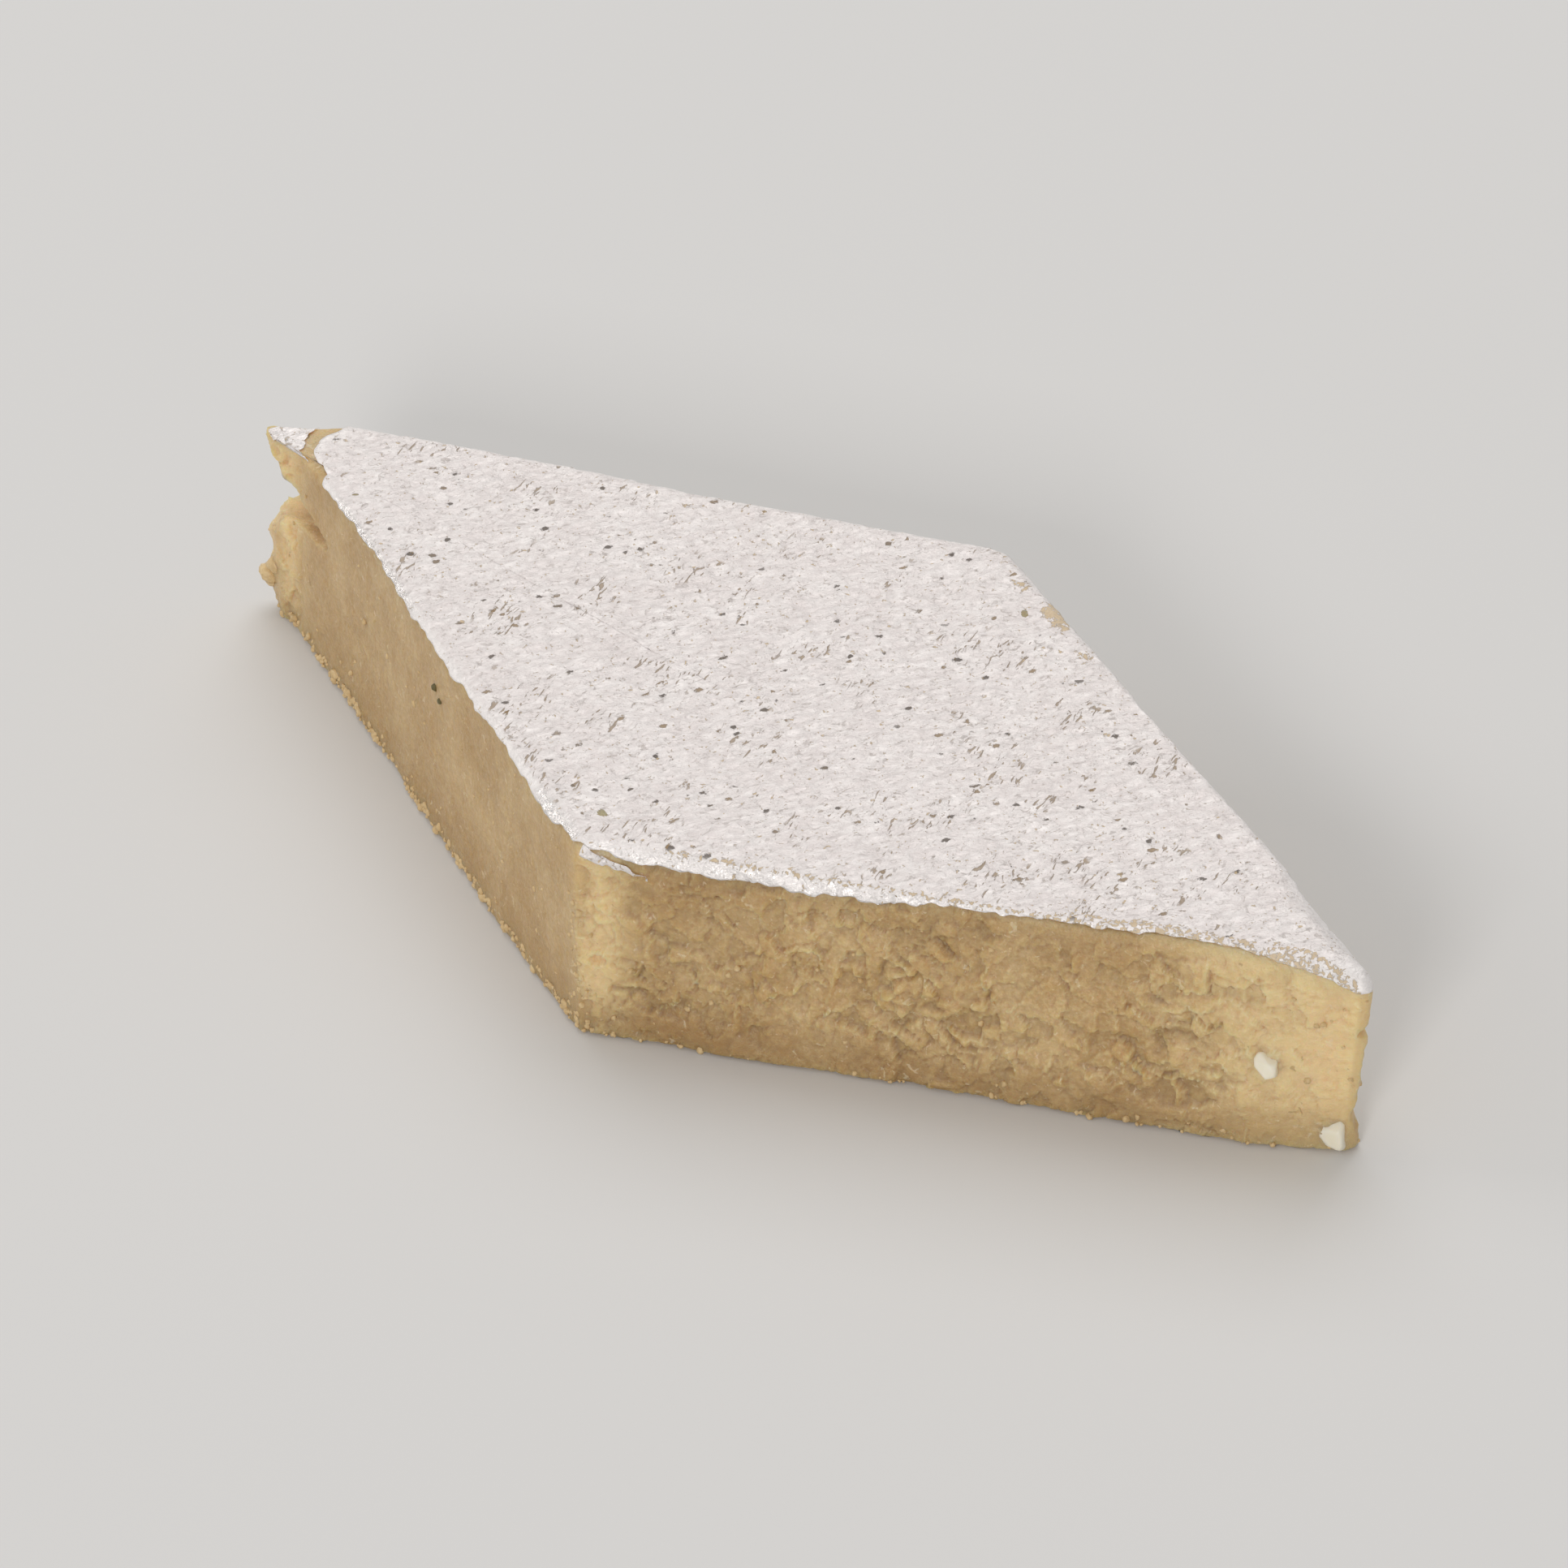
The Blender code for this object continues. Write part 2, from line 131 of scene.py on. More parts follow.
def flakes(points, width, seed):
    """Broken facets: each point takes the random level and tilt of its nearest flake, from about -1
    to 1. Also, in flake widths, how much farther the next flake's middle is, which is 0 at the
    border between them, and how far this one's is."""
    scaled = points / width
    home = np.floor(scaled)
    nearest = np.full(points.shape[:-1], np.inf)
    second = nearest.copy()
    level = np.zeros(points.shape[:-1])
    for step in np.ndindex(3, 3, 3):
        cell = home + np.array(step) - 1
        middle = cell + np.stack([cell_value(cell, seed + axis) for axis in range(3)], axis=-1)
        apart = scaled - middle
        distance = np.linalg.norm(apart, axis=-1)
        tilt = np.stack([cell_value(cell, seed + 7 + axis) for axis in range(3)], axis=-1) - 0.5
        own = FLAKE_LEVEL * (cell_value(cell, seed + 5) - 0.5) + FLAKE_TILT * (apart * tilt).sum(axis=-1)
        closer = distance < nearest
        second = np.where(closer, nearest, np.minimum(second, distance))
        level = np.where(closer, own, level)
        nearest = np.where(closer, distance, nearest)
    return level, second - nearest, nearest


def along_path(wanted, known, points):
    """Points at the wanted distances along a path whose points lie at the known distances."""
    return np.stack([np.interp(wanted, known, values) for values in points.T], axis=-1)


def rounded_outline(corners, radii):
    """Points round a four-cornered outline, counter-clockwise from mid-way round the first corner,
    evenly spaced along each side. Each corner is an arc that touches both its sides."""
    arcs = []
    for number in range(4):
        corner = corners[number]
        into = corners[number - 1] - corner
        out = corners[(number + 1) % 4] - corner
        into /= np.linalg.norm(into)
        out /= np.linalg.norm(out)
        half = math.acos(float(into @ out)) / 2
        centre = corner + (into + out) / np.linalg.norm(into + out) * radii[number] / math.sin(half)
        start = corner + into * radii[number] / math.tan(half) - centre
        turns = np.linspace(0, math.pi - 2 * half, ARC_STEPS + 1)
        turned_x = start[0] * np.cos(turns) - start[1] * np.sin(turns)
        turned_y = start[0] * np.sin(turns) + start[1] * np.cos(turns)
        arcs.append(centre + np.stack([turned_x, turned_y], axis=-1))
    ring = []
    for number in range(4):
        path = np.vstack([arcs[number][ARC_STEPS // 2 :], arcs[(number + 1) % 4][: ARC_STEPS // 2 + 1]])
        known = np.r_[0, np.cumsum(np.linalg.norm(np.diff(path, axis=0), axis=1))]
        fine = np.linspace(0, 1, FINE_STEPS) * known[-1]
        wanted = np.linspace(0, known[-1], SIDE_STEPS[number], endpoint=False)
        ring.append(along_path(wanted, fine, along_path(fine, known, path)))
    return np.vstack(ring)


def outward(ring, evened):
    """Normals of a counter-clockwise ring, averaged over that many points to each side."""
    along = np.roll(ring, -1, axis=0) - np.roll(ring, 1, axis=0)
    along /= np.linalg.norm(along, axis=-1, keepdims=True)
    normals = np.stack([along[:, 1], -along[:, 0]], axis=-1)
    return sum(np.roll(normals, shift, axis=0) for shift in range(-evened, evened + 1)) / (2 * evened + 1)


top_ring = rounded_outline(OUTLINE_TOP, TOP_RADII)
foot_ring = rounded_outline(OUTLINE_FOOT, FOOT_RADII)
top_ring[:, 1] += np.interp(top_ring[:, 0], *BEND.T)
foot_ring[:, 1] += FOOT_BEND_SHARE * np.interp(foot_ring[:, 0], *BEND.T)
foot_ring[:, 1] -= (foot_ring[:, 1] < 0) * np.interp(foot_ring[:, 0], *FOOT_BULGE.T)
ring_normals = outward(top_ring, NORMALS_EVENED_OVER)
on_front = fade(ring_normals @ FRONT_NORMAL, *FRONT_FACING)
top_centre = top_ring.mean(axis=0)


def shoulder_radius(ring):
    """Radius of the rounded top edge beside each point of the ring: it grows from that of most of
    the edge near the front side, and again near the right tip."""
    front, right = OUTLINE_TOP[1], OUTLINE_TOP[2]
    side = (right - front) / np.linalg.norm(right - front)
    offset = ring - front
    behind = side[0] * offset[..., 1] - side[1] * offset[..., 0]
    radius = SHOULDER + (FRONT_SHOULDER - SHOULDER) * fade(behind, *FRONT_SHOULDER_REACH)
    from_tip = np.linalg.norm(ring - right, axis=-1)
    return radius + (SMEARED_SHOULDER - radius) * fade(from_tip, SMEARED_REACH, SMEARED_FULL_REACH)


ring_shoulder = shoulder_radius(top_ring)

# Long waves and fine grit of the cut sides: how wide they are and how far they stand out
KNIFE_WAVE = (0.009, 0.00015)
SWELLING = (0.0026, 0.00006)
GRIT = (0.0003, 0.00002)
# Broken forms of the cut sides: flakes of two sizes with splits between them, lumps, grain and torn
# pits. A split's edge is measured in widths of its flake.
BROAD_WIDTH = 0.0022
BROAD_RELIEF = 0.00026
BROAD_SPLIT = 0.00012
BROAD_SPLIT_EDGE = 0.1
PLATE_WIDTH = 0.0012
PLATE_RELIEF = 0.00031
PLATE_SPLIT = 0.00018
PLATE_SPLIT_EDGE = 0.16
SPLIT_AREA_WIDTH = 0.0022
SPLIT_AREA = (0.05, 0.55)
# Share of the splits in the painted shade that darkens the paste there
SPLIT_TINT = 0.5
LUMP_WIDTH = 0.00065
LUMP_LEVEL_RELIEF = 0.00008
LUMP_RELIEF = 0.00014
LUMP_MEAN = 0.55
GRAIN_WIDTH = 0.0004
GRAIN_RELIEF = 0.00011
GRAIN_MEAN = 0.5
SMOOTH_SIDE_GRAIN = 0.22
TORN_WIDTH = 0.0015
TORN_AREA = (0.36, 0.8)
TORN_LUMP_SHARE = 0.3
TORN_DEPTH = 0.00024
TORN_PLATE_DEPTH = 0.0001
# The forms are pushed about by noise of this width, this far, and are wider than high
WARP_WIDTH = 0.001
FLAKE_WARP = 0.00045
LUMP_WARP = 0.00015
FLATTENED = (1, 1, 1.25)
TORN_FLATTENED = (1, 1, 1.2)
ROUGH_FACING = (0.75, 0.97)  # cosines, for the front side and the one opposite to it
# What is left of the relief on the smooth sides, by the foot and the top, and in calm patches
SMOOTH_SIDE_RELIEF = 0.1
CALM_BAND_RELIEF = 0.35
FOOT_CALM = (0.0012, 0.0034)
TOP_CALM = (0.0113, 0.0098)
CALM_PATCH_RELIEF = 0.45
RAGGED_WIDTH = 0.006
RAGGED_WITH_RELIEF = (0.2, 0.6)
RAGGED_WITH_PITS = (0.3, 0.7)
# What is lost of it by the right tip and by the front corner
RIGHT_TIP_LOSS = 0.7
RIGHT_TIP_CALM = (0.029, 0.036)
CORNER_LOSS = 0.45
CORNER_CALM_START = (-0.004, 0.001)
CORNER_CALM_END = (0.006, 0.001)


def relief_strength(points, rough):
    """How much of the relief shows, from 0 to 1: how rough the side is, times what is left by the
    foot, by the top and in calm patches, times what isn't lost by the right tip and the front
    corner, all raised to at least the smooth sides' share. Also how ragged it is, a broad noise."""
    x, z = points[..., 0], points[..., 2]
    ragged = 0.5 + 0.5 * rolling(points, RAGGED_WIDTH, seed=71)
    strength = rough * at_least(CALM_BAND_RELIEF, fade(z, *FOOT_CALM) * fade(z, *TOP_CALM))
    strength *= at_least(CALM_PATCH_RELIEF, fade(ragged, *RAGGED_WITH_RELIEF))
    at_front_corner = fade(x, *CORNER_CALM_START) * fade(x, *CORNER_CALM_END)
    strength *= 1 - RIGHT_TIP_LOSS * fade(x, *RIGHT_TIP_CALM) - CORNER_LOSS * at_front_corner
    return at_least(SMOOTH_SIDE_RELIEF, strength), ragged


def side_relief(points, normals):
    """How far the cut wall stands out: long knife waves, then flakes of two sizes, splits between
    them and torn pits on the two rough sides, and fine grain everywhere. Also how torn it is."""
    rough = fade(np.abs(normals @ FRONT_NORMAL), *ROUGH_FACING)
    strength, ragged = relief_strength(points, rough)
    warp = np.stack([rolling(points, WARP_WIDTH, seed) for seed in (61, 62, 63)], axis=-1)
    warped = (points + FLAKE_WARP * warp) * FLATTENED
    broad, broad_border, _ = flakes(warped, BROAD_WIDTH, seed=11)
    plate, plate_border, _ = flakes(warped, PLATE_WIDTH, seed=29)
    small, _, lump = flakes(points + LUMP_WARP * warp, LUMP_WIDTH, seed=47)
    _, _, grain = flakes(points, GRAIN_WIDTH, seed=43)
    split = fade(rolling(points, SPLIT_AREA_WIDTH, seed=37), *SPLIT_AREA)
    torn = rolling(warped * TORN_FLATTENED, TORN_WIDTH, seed=83) + TORN_LUMP_SHARE * small
    torn = fade(torn, *TORN_AREA) * fade(ragged, *RAGGED_WITH_PITS)
    plate_split = 1 - fade(plate_border, 0, PLATE_SPLIT_EDGE)
    broad_split = 1 - fade(broad_border, 0, BROAD_SPLIT_EDGE)
    relief = uneven(points, KNIFE_WAVE, seed=5) + uneven(points, SWELLING, seed=6)
    relief += strength * (BROAD_RELIEF * broad + PLATE_RELIEF * plate)
    relief += strength * (LUMP_LEVEL_RELIEF * small + LUMP_RELIEF * (LUMP_MEAN - lump))
    relief -= strength * split * (PLATE_SPLIT * plate_split + BROAD_SPLIT * broad_split)
    relief -= rough * strength * torn * (TORN_DEPTH + TORN_PLATE_DEPTH * plate)
    fine_relief = at_least(SMOOTH_SIDE_GRAIN, rough) * GRAIN_RELIEF * (GRAIN_MEAN - grain)
    relief += fine_relief + uneven(points, GRIT, seed=9)
    # The second value, where it is torn or split, later sets painted shade in those pits and splits
    return relief, rough * strength * np.maximum(torn, SPLIT_TINT * split * plate_split)


TOP_WAVE = (0.006, 0.00005)  # how wide and how high the top's waves are


def over_edge(inset, radius):
    """Where a point lies that is that far in from the edge, measured along the skin: its plan
    inset, its drop below the flat top, and how far the skin leans there, 0 flat to 1 upright.
    Past the rounding's quarter circle it runs straight down the wall."""
    turn = np.clip((radius - inset) / radius, 0, math.pi / 2)
    beyond = np.maximum(radius - math.pi / 2 * radius - inset, 0)
    flat = np.maximum(inset - radius, 0)
    return flat + radius * (1 - np.sin(turn)), radius * (1 - np.cos(turn)) + beyond, np.sin(turn)


def round_outline(place, values):
    """Values given at each step of the outline, read at places between them. The last step leads
    on to the first."""
    steps = np.arange(OUTLINE_STEPS + 1)
    closed = np.concatenate([values, values[:1]])
    return np.interp(place, steps, closed) if values.ndim == 1 else along_path(place, steps, closed)


def paste_skin(place, inset, lift):
    """Points of the slab's skin: place is where they are round the outline, in steps, and inset how
    far in along the skin. They are lifted off it along its slope, and the relief grows with the lean."""
    top, foot, normals = (round_outline(place, values) for values in (top_ring, foot_ring, ring_normals))
    plan_inset, drop, lean = over_edge(inset, round_outline(place, ring_shoulder))
    height = PASTE_TOP - drop
    ring = foot + (top - foot) * (height / SLAB_HEIGHT)[..., None]
    ring = top_centre + (ring - top_centre) * (1 - plan_inset / EDGE_TO_MIDDLE)[..., None]
    points = np.concatenate([ring, height[..., None]], axis=-1)
    relief, torn = side_relief(points, normals)
    points[..., :2] += normals * (relief * lean**2 + lift * lean)[..., None]
    points[..., 2] += uneven(points * (1, 1, 0), TOP_WAVE, seed=91) * (1 - lean)
    points[..., 2] += lift * np.sqrt(np.clip(1 - lean**2, 0, 1))
    return points, relief * lean**2, torn * lean


# The tips are broken off across this direction, which leaves everything nearer to the inner point
BREAK_WAY = np.array([0.798, 0.602])
BREAK_INNER_POINTS = np.array([(-0.03, 0.0012), (0.03, 0.0006)])
# Broken faces of the two tips: height, and how far the paste reaches there along BREAK_WAY
LEFT_BREAK = np.array(
    [
        (0, -0.0288), (0.0015, -0.0296), (0.0028, -0.0295), (0.0038, -0.029), (0.0048, -0.0293),
        (0.0064, -0.0284), (0.0069, -0.028), (0.0072, -0.0262), (0.0075, -0.0253), (0.0079, -0.0255),
        (0.0083, -0.0263), (0.0085, -0.027), (0.0091, -0.0272), (0.0093, -0.028), (0.0101, -0.0283),
        (0.0115, -0.0291),
    ]
)
RIGHT_BREAK = np.array(
    [
        (0, 0.0303), (0.002, 0.0299), (0.0038, 0.0302), (0.0065, 0.0308), (0.0072, 0.0308),
        (0.0075, 0.0303), (0.008, 0.031), (0.0098, 0.0312), (0.0105, 0.031), (0.011, 0.0306),
        (0.0113, 0.03), (0.0116, 0.029),
    ]
)
# Unevenness of the broken faces: how wide it is and how far it stands out
BREAK_LUMPS = (0.0009, 0.00012)
BREAK_CRUMBLE = (0.0004, 0.00014)


def break_tips(points, lift=0.0):
    """Cuts the tips back to their broken faces, roughened by noise and moved out by the lift. A
    point beyond one moves straight towards the inner point until it lies on the face."""
    crumbled = uneven(points, BREAK_LUMPS, seed=101) + uneven(points, BREAK_CRUMBLE, seed=102)
    along = points[..., :2] @ BREAK_WAY
    for profile, inner, side in zip((LEFT_BREAK, RIGHT_BREAK), BREAK_INNER_POINTS, (1, -1)):
        face = np.interp(points[..., 2], *profile.T) + side * (crumbled - lift)
        share = np.where(side * (face - along) > 0, (face - along) / (inner @ BREAK_WAY - along), 0)
        points[..., :2] += share[..., None] * (inner - points[..., :2])
    return points


def with_poles(bodies):
    """Points or values in rows round each closed body, as one list for each: the rows between the
    first and the last as they are, and one mean point for each of those two."""
    between = bodies[:, 1:-1].reshape(len(bodies), -1, *bodies.shape[3:])
    return np.concatenate([between, bodies[:, :1].mean(axis=2), bodies[:, -1:].mean(axis=2)], axis=1)


def grid_faces(numbers):
    """Four-cornered faces between neighbouring rows and columns of numbered points."""
    corners = numbers[..., :-1, :-1], numbers[..., :-1, 1:], numbers[..., 1:, 1:], numbers[..., 1:, :-1]
    return np.stack(corners, axis=-1).reshape(-1, 4).tolist()


def fan_faces(pole, from_points, to_points):
    """Triangles from a pole point to each pair of neighbouring points of the row beside it."""
    return np.stack(np.broadcast_arrays(pole, from_points, to_points), axis=-1).reshape(-1, 3).tolist()


def smooth_mesh(name, points, faces):
    """A smooth-shaded mesh of these points and faces."""
    mesh = bpy.data.meshes.new(name)
    mesh.from_pydata(points.reshape(-1, 3).tolist(), [], faces)
    mesh.shade_smooth()
    return mesh


def skin_mesh(name, bodies):
    """A mesh of closed bodies, each given as rows of points round it, from its lowest row to its
    highest. The first and the last row of a body shrink to one pole point each."""
    points = with_poles(bodies)
    rows, around = bodies.shape[1] - 2, bodies.shape[2]
    first = (np.arange(len(bodies)) * points.shape[1])[:, None]
    numbers = first[..., None] + np.arange(rows * around).reshape(rows, around)
    numbers = np.concatenate([numbers, numbers[..., :1]], axis=-1)
    lowest, highest = numbers[:, 0], numbers[:, -1]
    low_pole, high_pole = first + rows * around, first + rows * around + 1
    low_faces = fan_faces(low_pole, lowest[:, 1:], lowest[:, :-1])
    high_faces = fan_faces(high_pole, highest[:, :-1], highest[:, 1:])
    return smooth_mesh(name, points, grid_faces(numbers) + low_faces + high_faces)


def add_piece(name, mesh, material, slot, *stands_for, **point_values):
    """Puts a finished mesh in the scene as a piece of the object, with values kept at its points."""
    for key, values in point_values.items():
        attribute = mesh.attributes.new(key, "FLOAT", "POINT")
        attribute.data.foreach_set("value", values.ravel().astype(np.float32))
    mesh.materials.append(material)
    piece = bpy.data.objects.new(name, mesh)
    bpy.context.scene.collection.objects.link(piece)
    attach(piece, "root")
    if stands_for:
        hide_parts(*stands_for)
    return piece


class Wire:
    """One socket of a material's nodes. An operator between wires and numbers adds a Math node."""

    def __init__(self, tree, socket):
        self.tree = tree
        self.socket = socket

    def add(self, kind, settings=None, inputs=None, out=0):
        """Any other node: its type, its settings, its sockets' values or wires, and its output."""
        node = self.tree.nodes.new(kind)
        for name, value in (settings or {}).items():
            setattr(node, name, value)
        for name, value in (inputs or {}).items():
            if isinstance(value, Wire):
                self.tree.links.new(value.socket, node.inputs[name])
            else:
                node.inputs[name].default_value = value
        return Wire(self.tree, node.outputs[out])

    def math(self, operation, first, second):
        """A Math node with this operation between two wires or numbers."""
        return self.add("ShaderNodeMath", {"operation": operation}, {0: first, 1: second})

    def __add__(self, other):
        return self.math("ADD", self, other)

    def __radd__(self, other):
        return self.math("ADD", other, self)

    def __sub__(self, other):
        return self.math("SUBTRACT", self, other)

    def __rsub__(self, other):
        return self.math("SUBTRACT", other, self)

    def __mul__(self, other):
        return self.math("MULTIPLY", self, other)

    def __rmul__(self, other):
        return self.math("MULTIPLY", other, self)

    def between(self, start, end):
        """Smooth step of this value, 0 at start and 1 at end."""
        settings = {"interpolation_type": "SMOOTHSTEP"}
        return self.add("ShaderNodeMapRange", settings, {"Value": self, "From Min": start, "From Max": end})

    def mixed(self, first, second):
        """Mix of two colours, with this value as the share of the second."""
        return self.add("ShaderNodeMix", {"data_type": "RGBA"}, {0: self, 6: first, 7: second}, out=2)

    def noise(self, width, detail, roughness=0.55, distortion=0.0):
        """Noise read at this place, with lumps of that width in metres."""
        inputs = {"Scale": 1 / width, "Detail": detail, "Roughness": roughness, "Distortion": distortion}
        return self.add("ShaderNodeTexNoise", None, {"Vector": self, **inputs})

    def drawn_out(self, way, times):
        """This place, turned to that way and drawn out along it that many times."""
        inputs = {"Vector": self, "Rotation": (0, 0, way), "Scale": (times, 1, 1)}
        return self.add("ShaderNodeMapping", {"vector_type": "TEXTURE"}, inputs)

    def kept(self, name):
        """The value of that name that is kept at the mesh's points."""
        return self.add("ShaderNodeAttribute", {"attribute_name": name}, out=2)

    def bump(self, strength, distance):
        """A normal for this height, whose full range is as deep as the distance."""
        inputs = {"Height": self, "Strength": strength, "Distance": distance}
        return self.add("ShaderNodeBump", None, inputs)


def new_material(name, **socket_values):
    """An empty material whose shader's sockets have these values, with _ for a space in a name.
    Returns it, the shader node and a wire of Object coordinates."""
    material = bpy.data.materials.new(name)
    material.use_nodes = True
    tree = material.node_tree
    shader = tree.nodes["Principled BSDF"]
    for socket, value in socket_values.items():
        shader.inputs[socket.replace("_", " ")].default_value = value
    return material, shader, Wire(tree, tree.nodes.new("ShaderNodeTexCoord").outputs["Object"])


def wire_up(shader, **wires):
    """Links wires to the shader's sockets, whose names have _ for a space."""
    for name, wire in wires.items():
        wire.tree.links.new(wire.socket, shader.inputs[name.replace("_", " ")])


PASTE_TAN = (0.53, 0.345, 0.15, 1)
PASTE_PALE = (0.76, 0.575, 0.315, 1)
PASTE_GLOW = (0.96, 0.76, 0.42, 1)
PASTE_DEEP_AND_SHADE = (0.34, 0.195, 0.07, 1)
PASTE_CREAM = (0.86, 0.75, 0.54, 1)

cashew_paste, shader, place = new_material(
    "cashew_paste",
    Subsurface_Weight=0.75,
    Subsurface_Radius=(1.0, 0.64, 0.3),
    Subsurface_Scale=0.002,
    Specular_IOR_Level=0.5,
)
patches = place.noise(0.0034, 2).between(0.36, 0.66)
ground_nut = place.noise(0.001, 2).between(0.4, 0.64)
fine_meal = place.noise(0.00024, 2).between(0.42, 0.66)
colour = (0.05 + 0.38 * patches + 0.19 * ground_nut + 0.34 * fine_meal).mixed(PASTE_TAN, PASTE_PALE)
# Painted glow: golden where light would shine through little paste
colour = (0.75 * place.kept("painted_glow")).mixed(colour, PASTE_GLOW)
# Painted shade: darker brown in pits, splits, under the leaf's edge, at the foot and on the other sides
colour = (0.68 * place.kept("painted_shade")).mixed(colour, PASTE_DEEP_AND_SHADE)
pale_bits = place.noise(0.00045, 2, 0.5, 0.8).between(0.65, 0.72)
dark_bits = place.noise(0.0006, 2, 0.5, 0.8).between(0.31, 0.24)
colour = (0.42 * pale_bits).mixed(colour, PASTE_CREAM)
colour = (0.45 * dark_bits).mixed(colour, PASTE_DEEP_AND_SHADE)
fine_grain = place.noise(0.00022, 3, 0.6) + 0.5 * place.noise(0.0001, 1)
paste_roughness = 0.2 + 0.36 * place.noise(0.0004, 2)
wire_up(shader, Base_Color=colour, Roughness=paste_roughness, Normal=fine_grain.bump(0.6, 0.00011))

# Rows of the skin: shares of the underside from its middle out, shares of the wall from the foot up,
# rows over the rounded edge, and insets of the rows on the flat top
UNDERSIDE_SHARES = (0, 0.5, 0.93)
FOOT_SHARE = 0.004
WALL_SHARES = np.linspace(0.016, 1, 71)[:-1]
EDGE_ROWS = 9
TOP_INSETS = (0.0003, 0.0006, 0.0009, 0.0012, 0.0016, 0.002, 0.0027, 0.006)
# The top is kept this much lower where the leaf covers it, past this far in from the rounded edge
HIDDEN_TOP_DROP = 0.0003
HIDDEN_TOP_START = (0.0018, 0.0026)
# The lowest row is tucked in this far, with waves this wide and this deep
FOOT_TUCK = 0.00022
FOOT_TUCK_WAVE = (0.0007, 0.00012)

shoulder_start = ring_shoulder * (1 - math.pi / 2)
wall_height = PASTE_TOP - ring_shoulder
insets = [shoulder_start - (1 - share) * wall_height for share in (FOOT_SHARE, *WALL_SHARES)]
insets += [ring_shoulder * (1 - math.pi / 2 * turn) for turn in np.linspace(1, 0, EDGE_ROWS)]
insets += [ring_shoulder + inset for inset in TOP_INSETS]
insets.append(np.full(OUTLINE_STEPS, EDGE_TO_MIDDLE))

# Painted shade: how strongly the paste is tinted darker where shade would fall, in pits and where it is
# torn, on the front side under the leaf, at the foot and by the corner, and on the other sides, most at the
# foot
FULL_PIT_DEPTH = 0.0007
PIT_TINT = 0.8
TORN_TINT = 0.6
UNDER_LEAF_TINT = 0.38
UNDER_LEAF = (0.0082, 0.0106)
UNDER_LEAF_START = (0.001, 0.004)
UNDER_LEAF_END = (0.031, 0.026)
FRONT_FOOT_TINT = 0.72
FRONT_FOOT = (0.0038, 0.0006)
BY_CORNER_TINT = 0.36
BY_CORNER_END = (0.012, 0.006)
BY_CORNER_START = (0.0012, 0.0032)
OTHER_SIDES_TINT = 0.36
OTHER_FOOT_TINT = 0.36
OTHER_FOOT = (0.0055, 0.0006)
# Painted glow, a golden tint for light let through where the paste is narrow: at the front corner and at the
# two tips
FRONT_CORNER = np.array([0.0013, -0.0153])
FRONT_CORNER_WIDTH = 0.0019
FRONT_CORNER_GLOW = 0.8
RIGHT_TIP_THIN = (0.027, 0.036)
RIGHT_TIP_GLOW = 0.95
LEFT_TIP_THIN = (-0.0325, -0.0355)
LEFT_TIP_GLOW = 0.8

rows, pits = [], []
for share in UNDERSIDE_SHARES:
    ring = top_centre + (foot_ring - top_centre) * share
    rows.append(np.column_stack([ring, np.zeros(OUTLINE_STEPS)]))
    pits.append(np.zeros(OUTLINE_STEPS))
for number, inset in enumerate(insets):
    points, relief, torn = paste_skin(np.arange(OUTLINE_STEPS), inset, lift=0.0)
    if number == 0:
        points[:, :2] -= ring_normals * (FOOT_TUCK + uneven(points, FOOT_TUCK_WAVE, seed=55))[:, None]
        points[:, 2] = 0
    points[:, 2] -= HIDDEN_TOP_DROP * fade(inset - ring_shoulder, *HIDDEN_TOP_START)
    rows.append(points)
    # Painted shade in each pit, by its depth, and where the wall is torn
    pits.append(np.clip(-relief / FULL_PIT_DEPTH, 0, 1) + TORN_TINT * torn)
slab_skin = break_tips(np.array(rows))

# More painted shade: on the front side under the leaf's edge, at its foot and by the corner
x, height = slab_skin[..., 0], slab_skin[..., 2]
shaded = UNDER_LEAF_TINT * fade(height, *UNDER_LEAF) * fade(x, *UNDER_LEAF_START) * fade(x, *UNDER_LEAF_END)
shaded += FRONT_FOOT_TINT * fade(height, *FRONT_FOOT)
shaded += BY_CORNER_TINT * fade(x, *BY_CORNER_END) * fade(x, *BY_CORNER_START)
# Painted shade over the other sides, more at their foot
beside = OTHER_SIDES_TINT + OTHER_FOOT_TINT * fade(height, *OTHER_FOOT)
pits = np.clip(PIT_TINT * np.array(pits) + on_front * shaded + (1 - on_front) * beside, 0, 1)
# Painted glow near the front corner and the two tips
from_corner = np.linalg.norm(slab_skin[..., :2] - FRONT_CORNER, axis=-1)
painted_glow = FRONT_CORNER_GLOW * np.exp(-((from_corner / FRONT_CORNER_WIDTH) ** 2))
painted_glow = np.maximum(painted_glow, RIGHT_TIP_GLOW * fade(x, *RIGHT_TIP_THIN))
painted_glow = np.maximum(painted_glow, LEFT_TIP_GLOW * fade(x, *LEFT_TIP_THIN))

slab_mesh = skin_mesh("cut_paste_slab", slab_skin[None])
slab_values = {"painted_shade": with_poles(pits[None]), "painted_glow": with_poles(painted_glow[None])}
add_piece("cut_paste_slab", slab_mesh, cashew_paste, "cashew_fudge", "cashew_fudge", **slab_values)

# Crumbs on the cut sides
# Crumbs of the same paste that the knife pushed to the foot, left along the front corner and
# stuck to the torn left tip. Each is pressed half into the slab, and they differ in size.

CRUMB_RADII = (0.0001, 0.00026)
OTHER_CRUMBS_SIZE = 0.8  # of those not at the left foot
# How many crumbs, between which steps round the outline and between which rows up the wall
LEFT_FOOT_CRUMBS = (190, (0, SIDE_STEPS[0]), (0, 4))
OTHER_FOOT_CRUMBS = (110, (0, OUTLINE_STEPS), (0, 2))
WALL_CRUMBS = (150, (0, OUTLINE_STEPS), (2, 66))
# How many lie along the front corner, how many steps they spread, and between which rows
CORNER_CRUMBS = 46
CORNER_SPREAD = 4
CORNER_ROWS = (2, 60)
